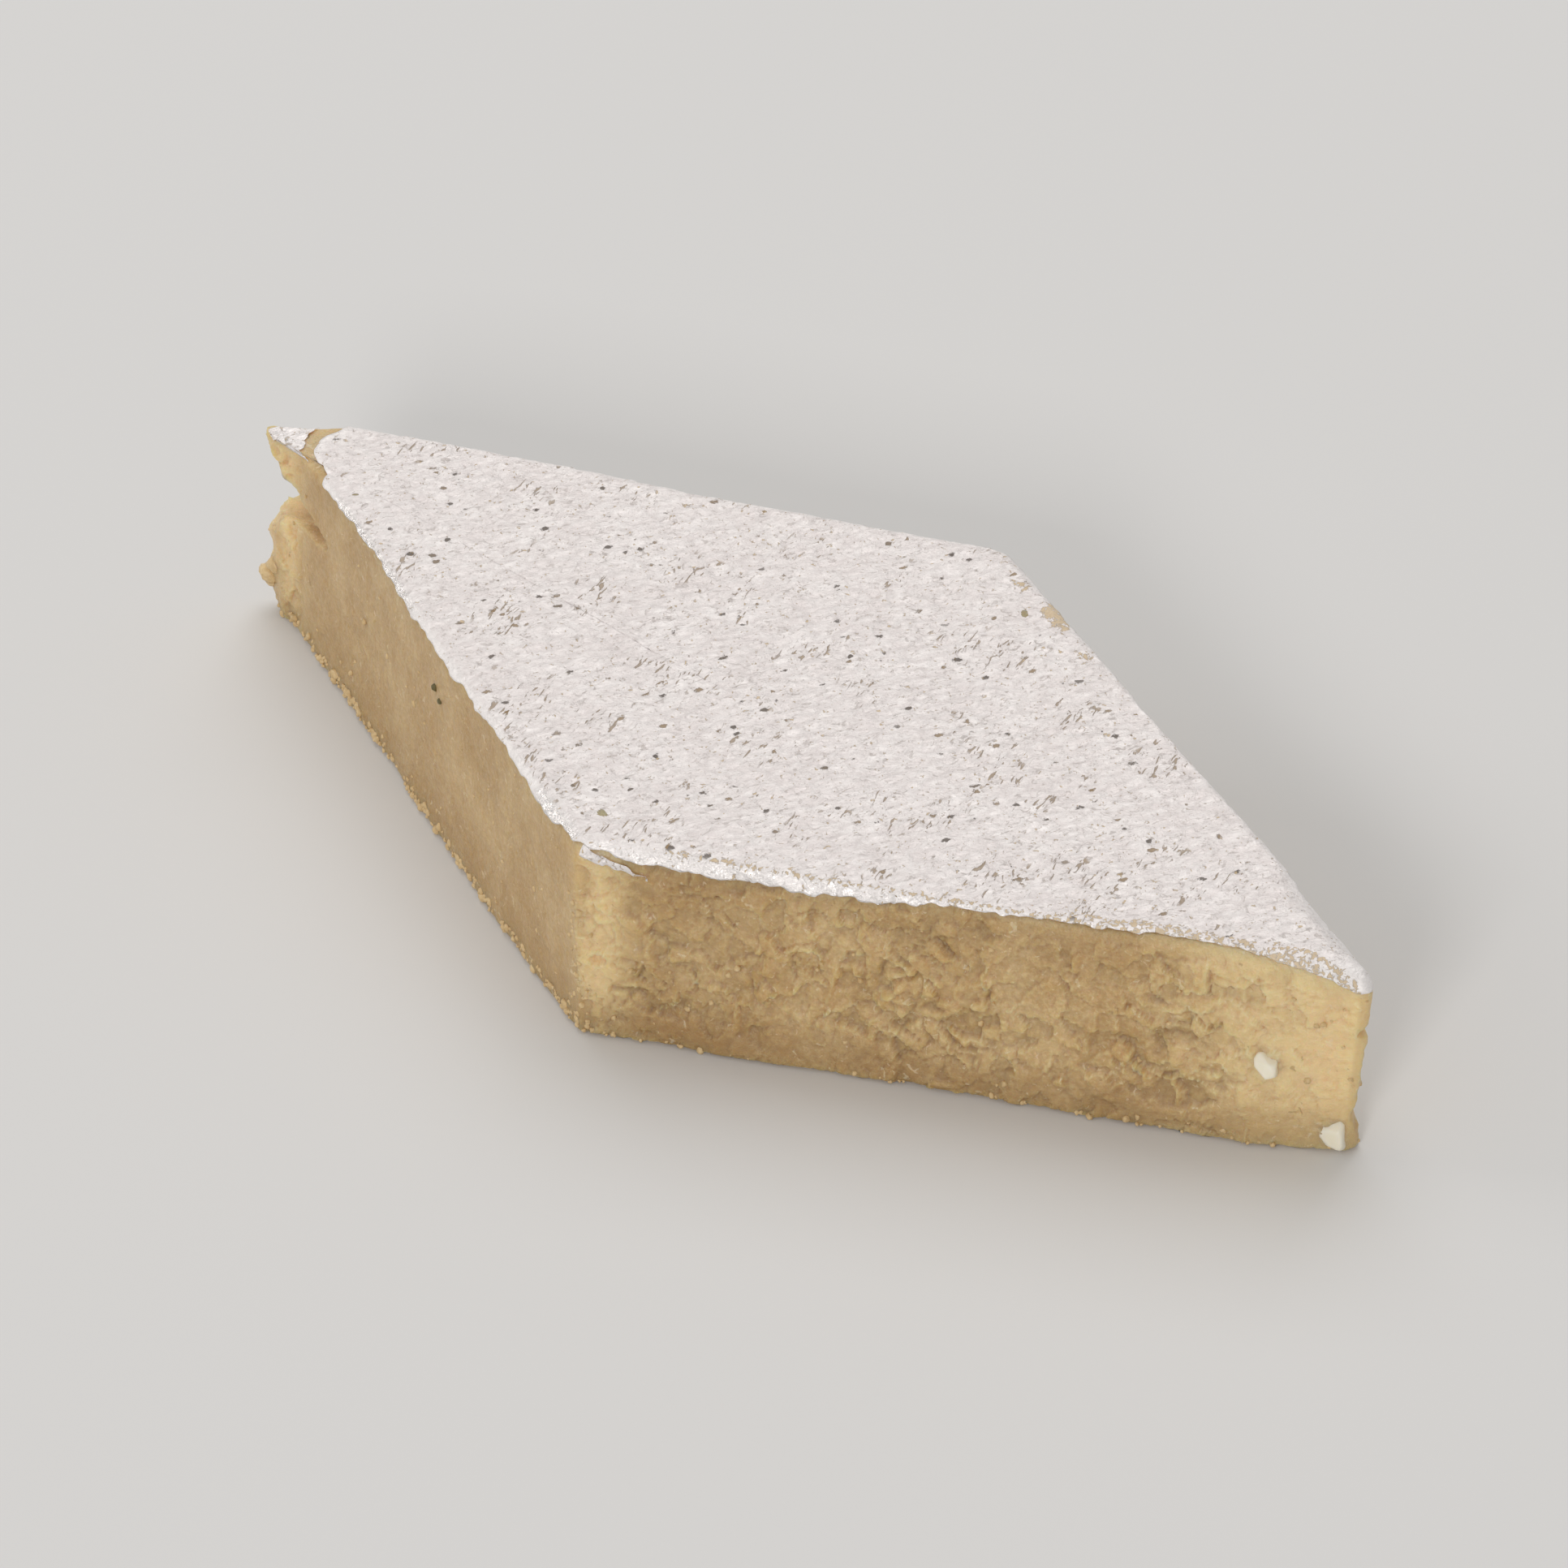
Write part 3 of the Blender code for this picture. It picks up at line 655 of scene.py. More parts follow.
# Larger crumbs on the broken left tip: X, Y, Z and radius
TIP_CRUMBS = np.array(
    [
        (-0.0362, 0.0011, 0.0062, 0.00045), (-0.0368, 0.001, 0.0052, 0.0005),
        (-0.0366, 0.0014, 0.0045, 0.00045), (-0.0374, 0.001, 0.0029, 0.0005),
        (-0.038, 0.0011, 0.002, 0.00062), (-0.0379, 0.0013, 0.0014, 0.0005),
        (-0.0371, 0.0011, 0.0008, 0.00045), (-0.0373, 0.0014, 0.0004, 0.00036),
    ]
)
PRESSED_IN = 0.45  # of the radius
LEAST_HEIGHT = 0.8  # of the radius
SWELL_WIDTH = 0.8  # of the radius
SWELL_SHARE = 0.45  # of the radius
NOISE_STEP = 7.3  # how far apart two lumps read their noise
FIRST_WALL_ROW = len(UNDERSIDE_SHARES) + 1
# Painted glow for every crumb, as they scatter no light inside
CRUMB_GLOW = 0.3  # as golden as paste that is this thin

chance = np.random.default_rng(26)


def lumps(centres, radii, rows, around, seed):
    """One round body for each centre: latitude rows and longitude columns of a sphere, whose radius
    swells and shrinks with rolling noise about as wide as the lump."""
    latitude = np.linspace(-math.pi / 2, math.pi / 2, rows)[:, None]
    longitude = np.linspace(0, 2 * math.pi, around, endpoint=False)[None, :]
    axes = np.cos(latitude) * np.cos(longitude), np.cos(latitude) * np.sin(longitude), np.sin(latitude)
    ball = np.stack(np.broadcast_arrays(*axes), axis=-1)
    offsets = np.arange(len(centres))[:, None, None, None] * NOISE_STEP
    swell = 1 + SWELL_SHARE * rolling(ball + offsets, SWELL_WIDTH, seed)
    return centres[:, None, None, :] + ball * swell[..., None] * radii[:, None, None, None]


def wall_spots(steps_round, rows_up):
    """Points on the slab's wall, given by step round the outline and row up the wall."""
    return slab_skin[FIRST_WALL_ROW + rows_up.astype(int), steps_round.astype(int) % OUTLINE_STEPS]


def scattered(count, steps, rows_up):
    """Points on the slab's wall at random, between these steps round and these rows up."""
    return wall_spots(chance.uniform(*steps, count), chance.uniform(*rows_up, count))


left_foot = scattered(*LEFT_FOOT_CRUMBS)
other_foot = scattered(*OTHER_FOOT_CRUMBS)
corner_steps = chance.normal(SIDE_STEPS[0], CORNER_SPREAD, CORNER_CRUMBS)
corner = wall_spots(corner_steps, chance.uniform(*CORNER_ROWS, CORNER_CRUMBS))
walls = scattered(*WALL_CRUMBS)
spots = np.vstack([left_foot, other_foot, corner, walls, TIP_CRUMBS[:, :3]])
radii = chance.uniform(0, 1, len(spots)) ** 2 * (CRUMB_RADII[1] - CRUMB_RADII[0]) + CRUMB_RADII[0]
radii[len(left_foot) :] *= OTHER_CRUMBS_SIZE
radii[-len(TIP_CRUMBS) :] = TIP_CRUMBS[:, 3]
towards_middle = top_centre - spots[:, :2]
towards_middle /= np.linalg.norm(towards_middle, axis=1, keepdims=True)
spots[:, :2] += towards_middle * PRESSED_IN * radii[:, None]
spots[:, 2] = np.maximum(spots[:, 2], LEAST_HEIGHT * radii)
crumb_skin = lumps(spots, radii, rows=8, around=11, seed=17)
crumb_skin[..., 2] = np.maximum(crumb_skin[..., 2], 0)
crumb_mesh = skin_mesh("paste_crumbs", crumb_skin)

# The same paste, with no light scattered inside, as so small a lump would glow
crumb_paste = cashew_paste.copy()
crumb_paste.name = "crumb_paste"
crumb_paste.node_tree.nodes["Principled BSDF"].inputs["Subsurface Weight"].default_value = 0.0
crumb_count = len(crumb_mesh.vertices)
crumb_values = {"painted_shade": np.zeros(crumb_count), "painted_glow": np.full(crumb_count, CRUMB_GLOW)}
add_piece("paste_crumbs", crumb_mesh, crumb_paste, "cashew_fudge", **crumb_values)

# Nut bits
# Two small pieces of broken cashew that the grinding missed, white and faceted, that show in
# the cut side near the right tip.

NUT_PLACES = np.array([(0.0337, -0.00188, 0.005), (0.03653, -0.0002, 0.001)])
NUT_RADII = np.array([0.00074, 0.00084])
NUT_SHADE = (0.9, 0.83, 0.65, 1)
NUT_WHITE = (0.97, 0.93, 0.81, 1)
CUT_DISTANCES = (0.72, 1.0)  # of the flat cuts from the middle, in radii
LONGEST_REACH = 1.15  # in radii
LEAST_FACING = 0.05

nut_flesh, shader, place = new_material(
    "nut_white", Subsurface_Weight=0.25, Subsurface_Radius=(1.0, 0.8, 0.5), Subsurface_Scale=0.0006
)
nut_colour = place.noise(0.0006, 2).mixed(NUT_SHADE, NUT_WHITE)
wire_up(shader, Base_Color=nut_colour, Roughness=0.4 + 0.1 * place.noise(0.0005, 1))


def faceted(centres, radii, rows, around, cuts, seed):
    """One broken bit for each centre: in each direction the surface is at the nearest of several
    flat cuts, each a random distance from the middle."""
    draw = np.random.default_rng(seed)
    directions = draw.normal(size=(len(centres), cuts, 3))
    directions /= np.linalg.norm(directions, axis=-1, keepdims=True)
    distances = draw.uniform(*CUT_DISTANCES, (len(centres), cuts))[:, None, None, :]
    ball = lumps(np.zeros((1, 3)), np.ones(1), rows, around, seed=0)[0]
    ball /= np.linalg.norm(ball, axis=-1, keepdims=True)
    facing = np.einsum("ncx,rax->nrac", directions, ball)
    reach = np.where(facing > LEAST_FACING, distances / np.maximum(facing, LEAST_FACING), LONGEST_REACH)
    reach = np.minimum(reach.min(axis=-1), LONGEST_REACH)
    return centres[:, None, None, :] + ball * (reach * radii[:, None, None])[..., None]


nut_mesh = skin_mesh("nut_bits", faceted(NUT_PLACES, NUT_RADII, rows=24, around=36, cuts=16, seed=8))
add_piece("nut_bits", nut_mesh, nut_flesh, "cashew_fudge")

# Fleck of husk
# A crushed fleck of green-brown nut husk in two bits, pressed into the left cut side. It was
# ground up with the nuts.

HUSK_STEPS = np.array([166, 170])  # places on the left side, counted from the tip
HUSK_ROWS = np.array([57, 54])  # rows up the wall
HUSK_RADII = np.array([0.0002, 0.00016])
HUSK_DARK = (0.1, 0.085, 0.03, 1)
HUSK_LIGHT = (0.17, 0.14, 0.05, 1)

husk, shader, place = new_material("husk", Roughness=0.5)
wire_up(shader, Base_Color=place.noise(0.0002, 2).mixed(HUSK_DARK, HUSK_LIGHT))
husk_spots = wall_spots(HUSK_STEPS, HUSK_ROWS)
husk_mesh = skin_mesh("husk_fleck", faceted(husk_spots, HUSK_RADII, rows=12, around=18, cuts=10, seed=3))
add_piece("husk_fleck", husk_mesh, husk, "cashew_fudge")

# Sheet of silver leaf
# Silver beaten thinner than foil and laid on the rolled slab before it is cut. It clings to the
# paste in fine creases, is torn off by the knife along the edges, and has pinholes.

LEAF_LIFT = 0.00003
LEAF_SIDE_CELLS = 204
RIM_CROWDING = 1.15  # above 1, the sheet's rows of points are closer together near its rim
LEAF_THICKNESS = 0.00002
# Between these sums of its normal's X and Y a wall comes to count as the far right side, and
# between the same sums below zero as the left side
SIDE_FACING = (1.1, 1.25)
# Where the sheet ends: place along X, and how far in from the edge, measured along the skin
FRONT_EDGE = np.array(
    [
        (-0.0005, 0.0001), (0.0015, -0.0001), (0.003, -0.00034), (0.0155, -0.00038), (0.0172, 0),
        (0.0185, 0.00016), (0.022, 0.0002), (0.0275, 0.00036), (0.0325, 0.0006), (0.035, 0.0004),
        (0.0365, 0), (0.0375, -0.0004), (0.0385, -0.0008),
    ]
)
LEFT_EDGE = np.array([(-0.006, -0.00006), (-0.005, -0.00022), (-0.0027, -0.00022), (-0.0018, 0)])
OTHER_EDGE = 0.0001
# It hangs over the side behind the right tip by this much more
RIGHT_TIP_DRAPE = 0.0008
RIGHT_TIP_DRAPE_START = (0.0352, 0.037)
# Where the sheet is torn off at the left end: how far along Y, and the X it starts at
TORN_END = np.array([(0.0003, -0.0318), (0.001, -0.0328), (0.0017, -0.03365), (0.0026, -0.0341)])
# Rolling unevenness of the torn edge and of the sheet: how wide it is and how far it reaches
EDGE_WAVES = (0.0017, 0.00013)
EDGE_TEETH = (0.0005, 0.00012)
TORN_END_WAVES = (0.0013, 0.00025)
CREASE_WARP = (0.0016, 0.0003)
RIM_CRUMPLE = (0.0004, 0.00005)
RIM_CRUMPLE_REACH = 0.001
# Creases: the way they run across the top, their width and height, and where the fine ones show
WRINKLE_WAY = math.radians(55)
CREASE_STRETCH = (0.65, 1, 1)
BROAD_CREASE_WIDTH = 0.0011
BROAD_CREASE_HEIGHT = 0.000048
FINE_CREASE_WIDTH = 0.0005
FINE_CREASE_HEIGHT = 0.000036
CREASED_AREA_WIDTH = 0.004
CREASED_AREA = (-0.4, 0.5)
LEAST_CREASED = 0.4
CREASES_START = 0.0004  # how far in from the rim the creases are in full
# The rim curls up this high where it ends high enough on the edge
RIM_CURL = 0.00006
RIM_CURL_REACH = 0.00022
CURLED_INSETS = (0.0006, 0.0003)

flat_ring = np.column_stack([top_ring, np.zeros(OUTLINE_STEPS)])
on_left = fade(-ring_normals.sum(axis=1), *SIDE_FACING)
on_far_right = fade(ring_normals.sum(axis=1), *SIDE_FACING)


def leaf_edge_inset():
    """How far in from the edge the sheet ends, along the skin, round the whole outline: as the
    tables say, made ragged by noise, and at the left end at least as far in as the torn end."""
    x = top_ring[:, 0]
    inset = OTHER_EDGE + on_front * (np.interp(x, *FRONT_EDGE.T) - OTHER_EDGE)
    inset += on_left * (np.interp(x, *LEFT_EDGE.T) - OTHER_EDGE)
    inset -= (1 - on_front) * RIGHT_TIP_DRAPE * fade(x, *RIGHT_TIP_DRAPE_START)
    inset += uneven(flat_ring, EDGE_WAVES, seed=121) + uneven(flat_ring, EDGE_TEETH, seed=122)
    start = np.interp(top_ring[:, 1], *TORN_END.T) + uneven(flat_ring, TORN_END_WAVES, seed=123)
    reach = (start - top_centre[0]) / (x - top_centre[0])
    torn_off = np.where(x < start, EDGE_TO_MIDDLE * (1 - reach), -1)
    return np.maximum(inset, torn_off)


def square_grid(low, high, count):
    """That many rows and columns of evenly spaced numbers: those across, then those along."""
    line = np.linspace(low, high, count)
    return np.meshgrid(line, line)


def square_to_ring(cells):
    """A square grid from -1 to 1 laid on a disc: each point's share of the way out to the rim, and
    its place round the outline in steps, the square's corners falling on the outline's corners."""
    across, along = square_grid(-1, 1, cells + 1)
    share = np.maximum(np.abs(across), np.abs(along))
    divisor = np.maximum(share, 1e-9)  # never 0, also in the middle
    x = across / divisor
    y = along / divisor
    near_or_far = np.where(along < 0, (x + 1) / 2, 2 + (1 - x) / 2)
    left_or_right = np.where(across > 0, 1 + (y + 1) / 2, 3 + (1 - y) / 2)
    edge = np.where(np.abs(along) >= np.abs(across), near_or_far, left_or_right)
    return share, np.interp(edge % 4, np.arange(5), CORNER_STEPS)


def sheet_mesh(name, points):
    """A mesh of a grid of points, faces up."""
    down, across = points.shape[:2]
    return smooth_mesh(name, points, grid_faces(np.arange(down * across).reshape(down, across)))


def creases(points):
    """Height of the leaf's creases: ridged noise stretched along the crease direction, of two
    sizes, the finer one stronger where a broad noise says so."""
    turned_x = points[..., 0] * math.cos(WRINKLE_WAY) + points[..., 1] * math.sin(WRINKLE_WAY)
    turned_y = points[..., 1] * math.cos(WRINKLE_WAY) - points[..., 0] * math.sin(WRINKLE_WAY)
    flat = np.stack([turned_x, turned_y, np.zeros_like(turned_x)], axis=-1)
    flat[..., 1] += uneven(flat, CREASE_WARP, seed=131)
    broad = 1 - 2 * np.abs(rolling(flat * CREASE_STRETCH, BROAD_CREASE_WIDTH, seed=132))
    fine = 1 - 2 * np.abs(rolling(flat * CREASE_STRETCH, FINE_CREASE_WIDTH, seed=133))
    creased = at_least(LEAST_CREASED, fade(rolling(flat, CREASED_AREA_WIDTH, seed=134), *CREASED_AREA))
    return BROAD_CREASE_HEIGHT * broad + FINE_CREASE_HEIGHT * creased * fine


share, place_round = square_to_ring(LEAF_SIDE_CELLS)
rim_inset = round_outline(place_round, leaf_edge_inset())
sheet_inset = rim_inset + (EDGE_TO_MIDDLE - rim_inset) * (1 - share) ** RIM_CROWDING
from_rim = sheet_inset - rim_inset
curl = RIM_CURL * np.exp(-((from_rim / RIM_CURL_REACH) ** 2)) * fade(rim_inset, *CURLED_INSETS)
sheet_points, _, _ = paste_skin(place_round, sheet_inset, LEAF_LIFT + curl)
crumpled = fade(from_rim, RIM_CRUMPLE_REACH, 0) * uneven(sheet_points, RIM_CRUMPLE, seed=125)
sheet_points[..., 2] += creases(sheet_points) * fade(from_rim, 0, CREASES_START) + crumpled
sheet_points = break_tips(sheet_points, 2 * LEAF_LIFT)

# How the leaf looks near its rim, as values that are kept at its points: clean of pinholes and given a
# painted highlight where it is bent over the edge and in a band along its rim, glossy where it is pressed to
# it, and worn through beside it and in rubbed spots
BENT_LEAN = (0.15, 0.9)
RIM_HIGHLIGHT = 0.8
RIM_HIGHLIGHT_REACH = 0.00018
WORN_LINE = 0.9
WORN_LINE_INSET = 0.00042
WORN_LINE_WIDTH = 0.0002
WORN_LINE_START = (0.002, 0.005)
WORN_TIP = 1.5
WORN_TIP_START = (0.0215, 0.026)
WORN_TIP_INSETS = (0.002, 0.0006)
RUBBED = 1.6
RUBBED_START = (0.0022, 0.0036)
RUBBED_END = (0.0125, 0.0108)
RUBBED_INSETS = (0.0012, 0.0005)
RUBBED_SPOT_WIDTH = 0.0013
RUBBED_SPOTS = (-0.05, 0.2)
FRONT_GLOSS_END = (0.038, 0.03)
LEFT_GLOSS = 1.6
LEFT_GLOSS_START = (-0.031, -0.029)
LEFT_GLOSS_END = (-0.019, -0.022)
CORNER_GLOSS_START = (-0.0052, -0.004)

x = sheet_points[..., 0]
front_there, left_there, far_there = (
    round_outline(place_round, values) for values in (on_front, on_left, on_far_right)
)
radius_there = round_outline(place_round, ring_shoulder)
bent_over = fade((radius_there - sheet_inset) / radius_there, *BENT_LEAN)
# Painted highlight in a band along the rim
bent_over = np.maximum(bent_over, RIM_HIGHLIGHT * np.exp(-((from_rim / RIM_HIGHLIGHT_REACH) ** 2)))
worn_line = WORN_LINE * np.exp(-(((sheet_inset - WORN_LINE_INSET) / WORN_LINE_WIDTH) ** 2))
worn = front_there * worn_line * fade(x, *WORN_LINE_START)
worn += front_there * WORN_TIP * fade(x, *WORN_TIP_START) * fade(sheet_inset, *WORN_TIP_INSETS)
rubbed_spots = fade(rolling(sheet_points, RUBBED_SPOT_WIDTH, seed=127), *RUBBED_SPOTS)
rubbed_spots *= far_there * fade(sheet_inset, *RUBBED_INSETS) * fade(x, *RUBBED_START) * fade(x, *RUBBED_END)
worn = np.clip(worn, 0, 1) + RUBBED * rubbed_spots
glints = fade(x, *LEFT_GLOSS_START) * fade(x, *LEFT_GLOSS_END) + fade(x, *CORNER_GLOSS_START)
gloss = bent_over * (front_there * fade(x, *FRONT_GLOSS_END) + LEFT_GLOSS * left_there * glints)

LEAF_SILVER = (0.85, 0.79, 0.78, 1)
LEAF_BRIGHT = (0.99, 0.955, 0.945, 1)
LEAF_SHADE_GREY = (0.42, 0.37, 0.345, 1)
PINHOLE_BROWN = (0.11, 0.085, 0.065, 1)
PINHOLE_TAN = (0.35, 0.245, 0.14, 1)
WORN_TAN = (0.7, 0.53, 0.31, 1)
WRINKLES_DRAWN_OUT = 1.4
SCRATCH_WAY = math.radians(105)
SCRATCHES_DRAWN_OUT = 3
PINHOLE_SPACING = 0.00063

silver, shader, place = new_material("beaten_silver")
along_wrinkles = place.drawn_out(WRINKLE_WAY, WRINKLES_DRAWN_OUT)
along_scratches = place.drawn_out(SCRATCH_WAY, SCRATCHES_DRAWN_OUT)
bent_highlight_there, worn_there, gloss_there = (place.kept(name) for name in ("bent_over", "worn", "gloss"))

# Silver in random patches, with painted highlights on the creases, grey painted shade in short strokes
# between them, and a painted highlight on the bent edge
crease_noise = along_wrinkles.noise(0.0005, 5, 0.66, 0.8)
patches = place.noise(0.003, 3).between(0.35, 0.65)
# Painted highlights on the crease ridges, and random lighter patches
colour = (0.55 * crease_noise.between(0.38, 0.66) + 0.25 * patches).mixed(LEAF_SILVER, LEAF_BRIGHT)
clusters = place.noise(0.003, 2, 0.5).between(0.51, 0.6)
# Painted shade in the crease valleys, stronger in clusters
crease_shade = along_wrinkles.noise(0.0004, 3, 0.6, 1.2).between(0.43, 0.33)
colour = ((0.43 + 0.15 * clusters) * crease_shade).mixed(colour, LEAF_SHADE_GREY)
# Painted highlight where the leaf is bent over the edge
colour = bent_highlight_there.mixed(colour, LEAF_BRIGHT)

# Pinholes, which are cells that a random number lets through, and scratches, both bare: the paste shows in
# them, painted a darker brown as shade in the holes
cell_inputs = {"Vector": along_wrinkles, "Scale": 1 / PINHOLE_SPACING, "Randomness": 1.0}
cell_distance = place.add("ShaderNodeTexVoronoi", None, cell_inputs)
cell_colour = {"Color": place.add("ShaderNodeTexVoronoi", None, cell_inputs, out=1)}
cell_chance = place.add("ShaderNodeSeparateColor", None, cell_colour)
cell_kind = place.add("ShaderNodeSeparateColor", None, cell_colour, out=1)
allowed = (cell_chance + 0.42 * clusters).between(0.92, 0.97)
pinholes = allowed * (cell_distance + 0.9 * place.noise(0.0003, 3, 0.7)).between(0.72, 0.58)
torn_lines = along_scratches.noise(0.0003, 2, 0.6, 0.6).between(0.4, 0.34)
scratches = place.noise(0.0036, 2, 0.5).between(0.55, 0.61) * torn_lines
bare = (0.88 * pinholes + 0.75 * scratches) * (1 - bent_highlight_there)
bare_tint = (cell_kind + scratches).between(0.3, 0.7).mixed(PINHOLE_BROWN, PINHOLE_TAN)
colour = bare.mixed(colour, bare_tint)

# Worn places, where the paste shows
rubbed = (place.noise(0.00026, 3, 0.6, 0.5) + 0.16 * worn_there).between(0.64, 0.7)
colour = (0.8 * rubbed).mixed(colour, WORN_TAN)

matt = (bare + rubbed).between(0, 1)
metal = (0.35 + 0.35 * gloss_there) * (1 - matt)
leaf_roughness = 0.4 + 0.18 * crease_noise + 0.2 * matt - 0.17 * gloss_there
crinkles = crease_noise + 0.45 * along_wrinkles.noise(0.0002, 3, 0.6, 0.6) - 0.5 * matt
leaf_normal = crinkles.bump(0.85, 0.00017)
wire_up(shader, Base_Color=colour, Metallic=metal, Roughness=leaf_roughness, Normal=leaf_normal)


def add_leaf(name, points, *stands_for, **point_values):
    """Adds a piece of the leaf, given as a grid of points, as thick as the leaf."""
    piece = add_piece(name, sheet_mesh(name, points), silver, "silver_leaf", *stands_for, **point_values)
    modifier = piece.modifiers.new("leaf_thickness", "SOLIDIFY")
    modifier.thickness = LEAF_THICKNESS
    modifier.offset = 1


add_leaf("silver_sheet", sheet_points, "silver_leaf", bent_over=bent_over, worn=worn, gloss=gloss)

# Torn scraps of the leaf
# The knife tore the leaf away at the left tip and at the front corner. A scrap stayed on each,
# stuck to the paste, the one on the tip bent down over the edge.

SCRAP_CELLS = 40
# The scraps get some of the bent edge's painted highlight all over
SCRAP_VALUES = {"bent_over": 0.4, "worn": 0.25, "gloss": 0.5}
TIP_SCRAP_CORNERS = np.array([(-0.0376, 0.00105), (-0.0344, 0.00105), (-0.0347, 0.0018), (-0.0351, 0.0031)])
TIP_SCRAP_LIFT = 0.00008
# Rolling unevenness of the scraps: how wide it is and how far it reaches
SCRAP_RAGS = (0.0007, 0.00022)
SCRAP_TEETH = (0.0003, 0.00008)
SCRAP_CRUMPLE = (0.0006, 0.00005)
STRAND_RAGS = (0.0006, 0.00008)
STRAND_CRUMPLE = (0.0004, 0.00004)
LEAST_INSET = 0.0001
# The strand starts this many steps past the front corner, is so many steps long, and falls away
# from the leaf's edge by this much on its way along the front side
STRAND_START = 2
STRAND_STEPS = 33
STRAND_LENGTH = 0.004
STRAND_HALF_WIDTH = 0.00022
STRAND_COLUMNS = 9
STRAND_INSET = -0.0001
STRAND_FALL = 0.00095
STRAND_NOISE_WIDTH = 0.0003
STRAND_LIFT = 0.00009


def scrap_points(corners, lift, seed):
    """A four-cornered patch on the slab's top, its edges made ragged and its surface crumpled by
    noise. It bends down over the slab's shoulder where it reaches past it."""
    across, along = square_grid(0, 1, SCRAP_CELLS + 1)
    weights = (1 - across) * (1 - along), across * (1 - along), across * along, (1 - across) * along
    plan = sum(weight[..., None] * corner for weight, corner in zip(weights, corners))
    flat = np.concatenate([plan, np.zeros((*plan.shape[:-1], 1))], axis=-1)
    plan = plan + np.stack([uneven(flat, SCRAP_RAGS, seed), uneven(flat, SCRAP_RAGS, seed + 1)], axis=-1)
    plan = plan + uneven(flat, SCRAP_TEETH, seed + 2)[..., None]
    offset = plan - top_centre
    ring_offset = top_ring - top_centre
    ring_turn = np.unwrap(np.arctan2(ring_offset[:, 1], ring_offset[:, 0]))
    turn = (np.arctan2(offset[..., 1], offset[..., 0]) - ring_turn[0]) % (2 * math.pi) + ring_turn[0]
    place = np.interp(turn, [*ring_turn, ring_turn[0] + 2 * math.pi], np.arange(OUTLINE_STEPS + 1))
    reach = round_outline(place, np.linalg.norm(ring_offset, axis=-1))
    inset = EDGE_TO_MIDDLE * (1 - np.linalg.norm(offset, axis=-1) / reach)
    points, _, _ = paste_skin(place, np.maximum(inset, LEAST_INSET), lift)
    points = break_tips(points, LEAF_LIFT)
    points[..., 2] += uneven(flat, SCRAP_CRUMPLE, seed + 3)
    return points


def strand_points():
    """A narrow strand that runs down the front side from the corner, thinner towards its end."""
    along, across = np.meshgrid(np.linspace(0, 1, SCRAP_CELLS), np.linspace(-1, 1, STRAND_COLUMNS))
    flat = np.stack([along * STRAND_LENGTH, across * STRAND_NOISE_WIDTH, np.zeros_like(along)], axis=-1)
    half_width = STRAND_HALF_WIDTH * (1 - along**3) + uneven(flat, STRAND_RAGS, seed=151)
    inset = STRAND_INSET - STRAND_FALL * along + across * half_width
    points, _, _ = paste_skin(SIDE_STEPS[0] + STRAND_START + STRAND_STEPS * along, inset, STRAND_LIFT)
    return points + uneven(flat, STRAND_CRUMPLE, seed=152)[..., None]


for name, points, stands_for in (
    ("scrap_on_tip", scrap_points(TIP_SCRAP_CORNERS, TIP_SCRAP_LIFT, seed=141), ("leaf_scrap",)),
    ("scrap_on_corner", strand_points(), ()),
):
    values = {key: np.full(points.shape[:-1], value) for key, value in SCRAP_VALUES.items()}
    add_leaf(name, points, *stands_for, **values)

# Floor, light and camera
# A pale matt tabletop under soft studio light from above and behind, and a long lens at the
# height from which one looks down on a plate.

FLOOR_REACH = 3.0
FLOOR_DROP = 0.00005
FLOOR_GREY = (0.72, 0.72, 0.72, 1)
FLOOR_PALE = (0.74, 0.74, 0.74, 1)
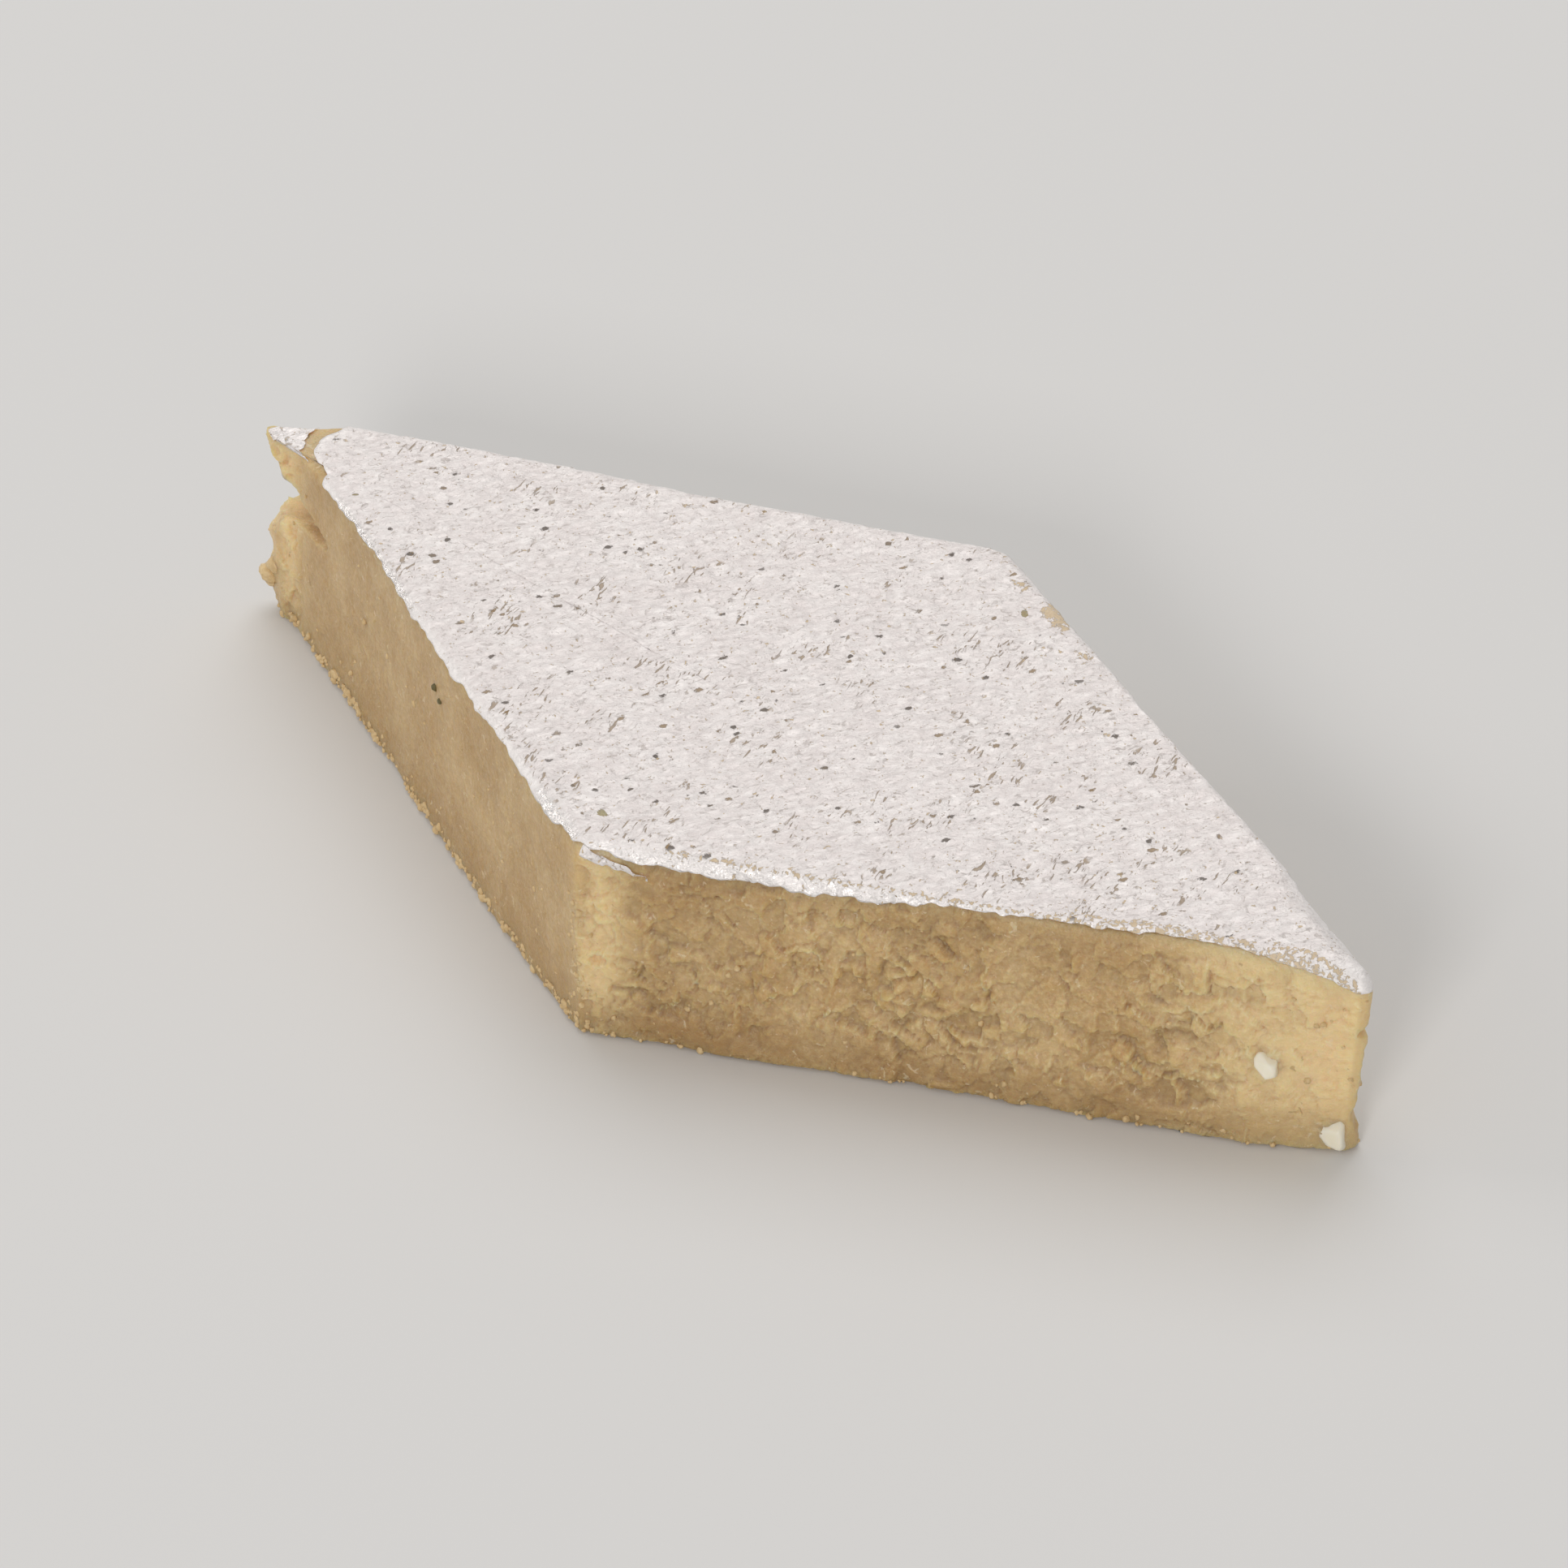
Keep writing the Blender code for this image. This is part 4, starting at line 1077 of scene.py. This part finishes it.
# Softboxes: place, width, power and tint
SOFTBOXES = {
    "overhead_box": ((-0.3, 0.4, 0.8), 0.8, 3.9, (1.0, 0.985, 0.97)),
    "front_box": ((0.42, -0.82, 0.5), 0.24, 3.4, (1.0, 0.97, 0.94)),
    "left_box": ((-0.9, -0.34, 0.36), 0.35, 1.7, (1.0, 0.97, 0.94)),
}
ROOM_TINT = (1.0, 0.98, 0.95, 1)
ROOM_LIGHT = 0.38
CAMERA_PLACE = (0.3504, -0.3636, 0.3906)
CAMERA_TARGET = Vector((0.0, 0.0, 0.0059))
CAMERA_ROLL = math.radians(-4.19)
CAMERA_LENS = 284
CAMERA_SENSOR = 36
CAMERA_REACH = (0.01, 20)

across, along = square_grid(-FLOOR_REACH, FLOOR_REACH, 3)
floor_mesh = sheet_mesh("floor", np.stack([across, along, np.full_like(across, -FLOOR_DROP)], axis=-1))
floor_matt, shader, place = new_material("pale_floor", Roughness=0.7)
wire_up(shader, Base_Color=place.noise(0.4, 1).mixed(FLOOR_GREY, FLOOR_PALE))
floor_mesh.materials.append(floor_matt)
floor = bpy.data.objects.new("floor", floor_mesh)
bpy.context.scene.collection.objects.link(floor)


def add_facing(name, data, where, roll=0.0):
    """Adds a lamp or camera there that faces the middle of the piece, rolled by that angle."""
    thing = bpy.data.objects.new(name, data)
    thing.location = where
    thing.rotation_mode = "QUATERNION"
    aim = (CAMERA_TARGET - Vector(where)).to_track_quat("-Z", "Y")
    thing.rotation_quaternion = aim @ Quaternion((0, 0, 1), roll)
    bpy.context.scene.collection.objects.link(thing)
    return thing


for name, (where, width, power, tint) in SOFTBOXES.items():
    light = bpy.data.lights.new(name, "AREA")
    light.size = width
    light.energy = power
    light.color = tint
    add_facing(name, light, where)

world = bpy.data.worlds.new("soft_room")
world.use_nodes = True
world.node_tree.nodes["Background"].inputs["Color"].default_value = ROOM_TINT
world.node_tree.nodes["Background"].inputs["Strength"].default_value = ROOM_LIGHT
bpy.context.scene.world = world
bpy.context.scene.view_settings.view_transform = "Standard"

camera_data = bpy.data.cameras.new("camera")
camera_data.lens = CAMERA_LENS
camera_data.sensor_width = CAMERA_SENSOR
camera_data.clip_start, camera_data.clip_end = CAMERA_REACH
bpy.context.scene.camera = add_facing("camera", camera_data, CAMERA_PLACE, CAMERA_ROLL)

bpy.context.view_layer.update()
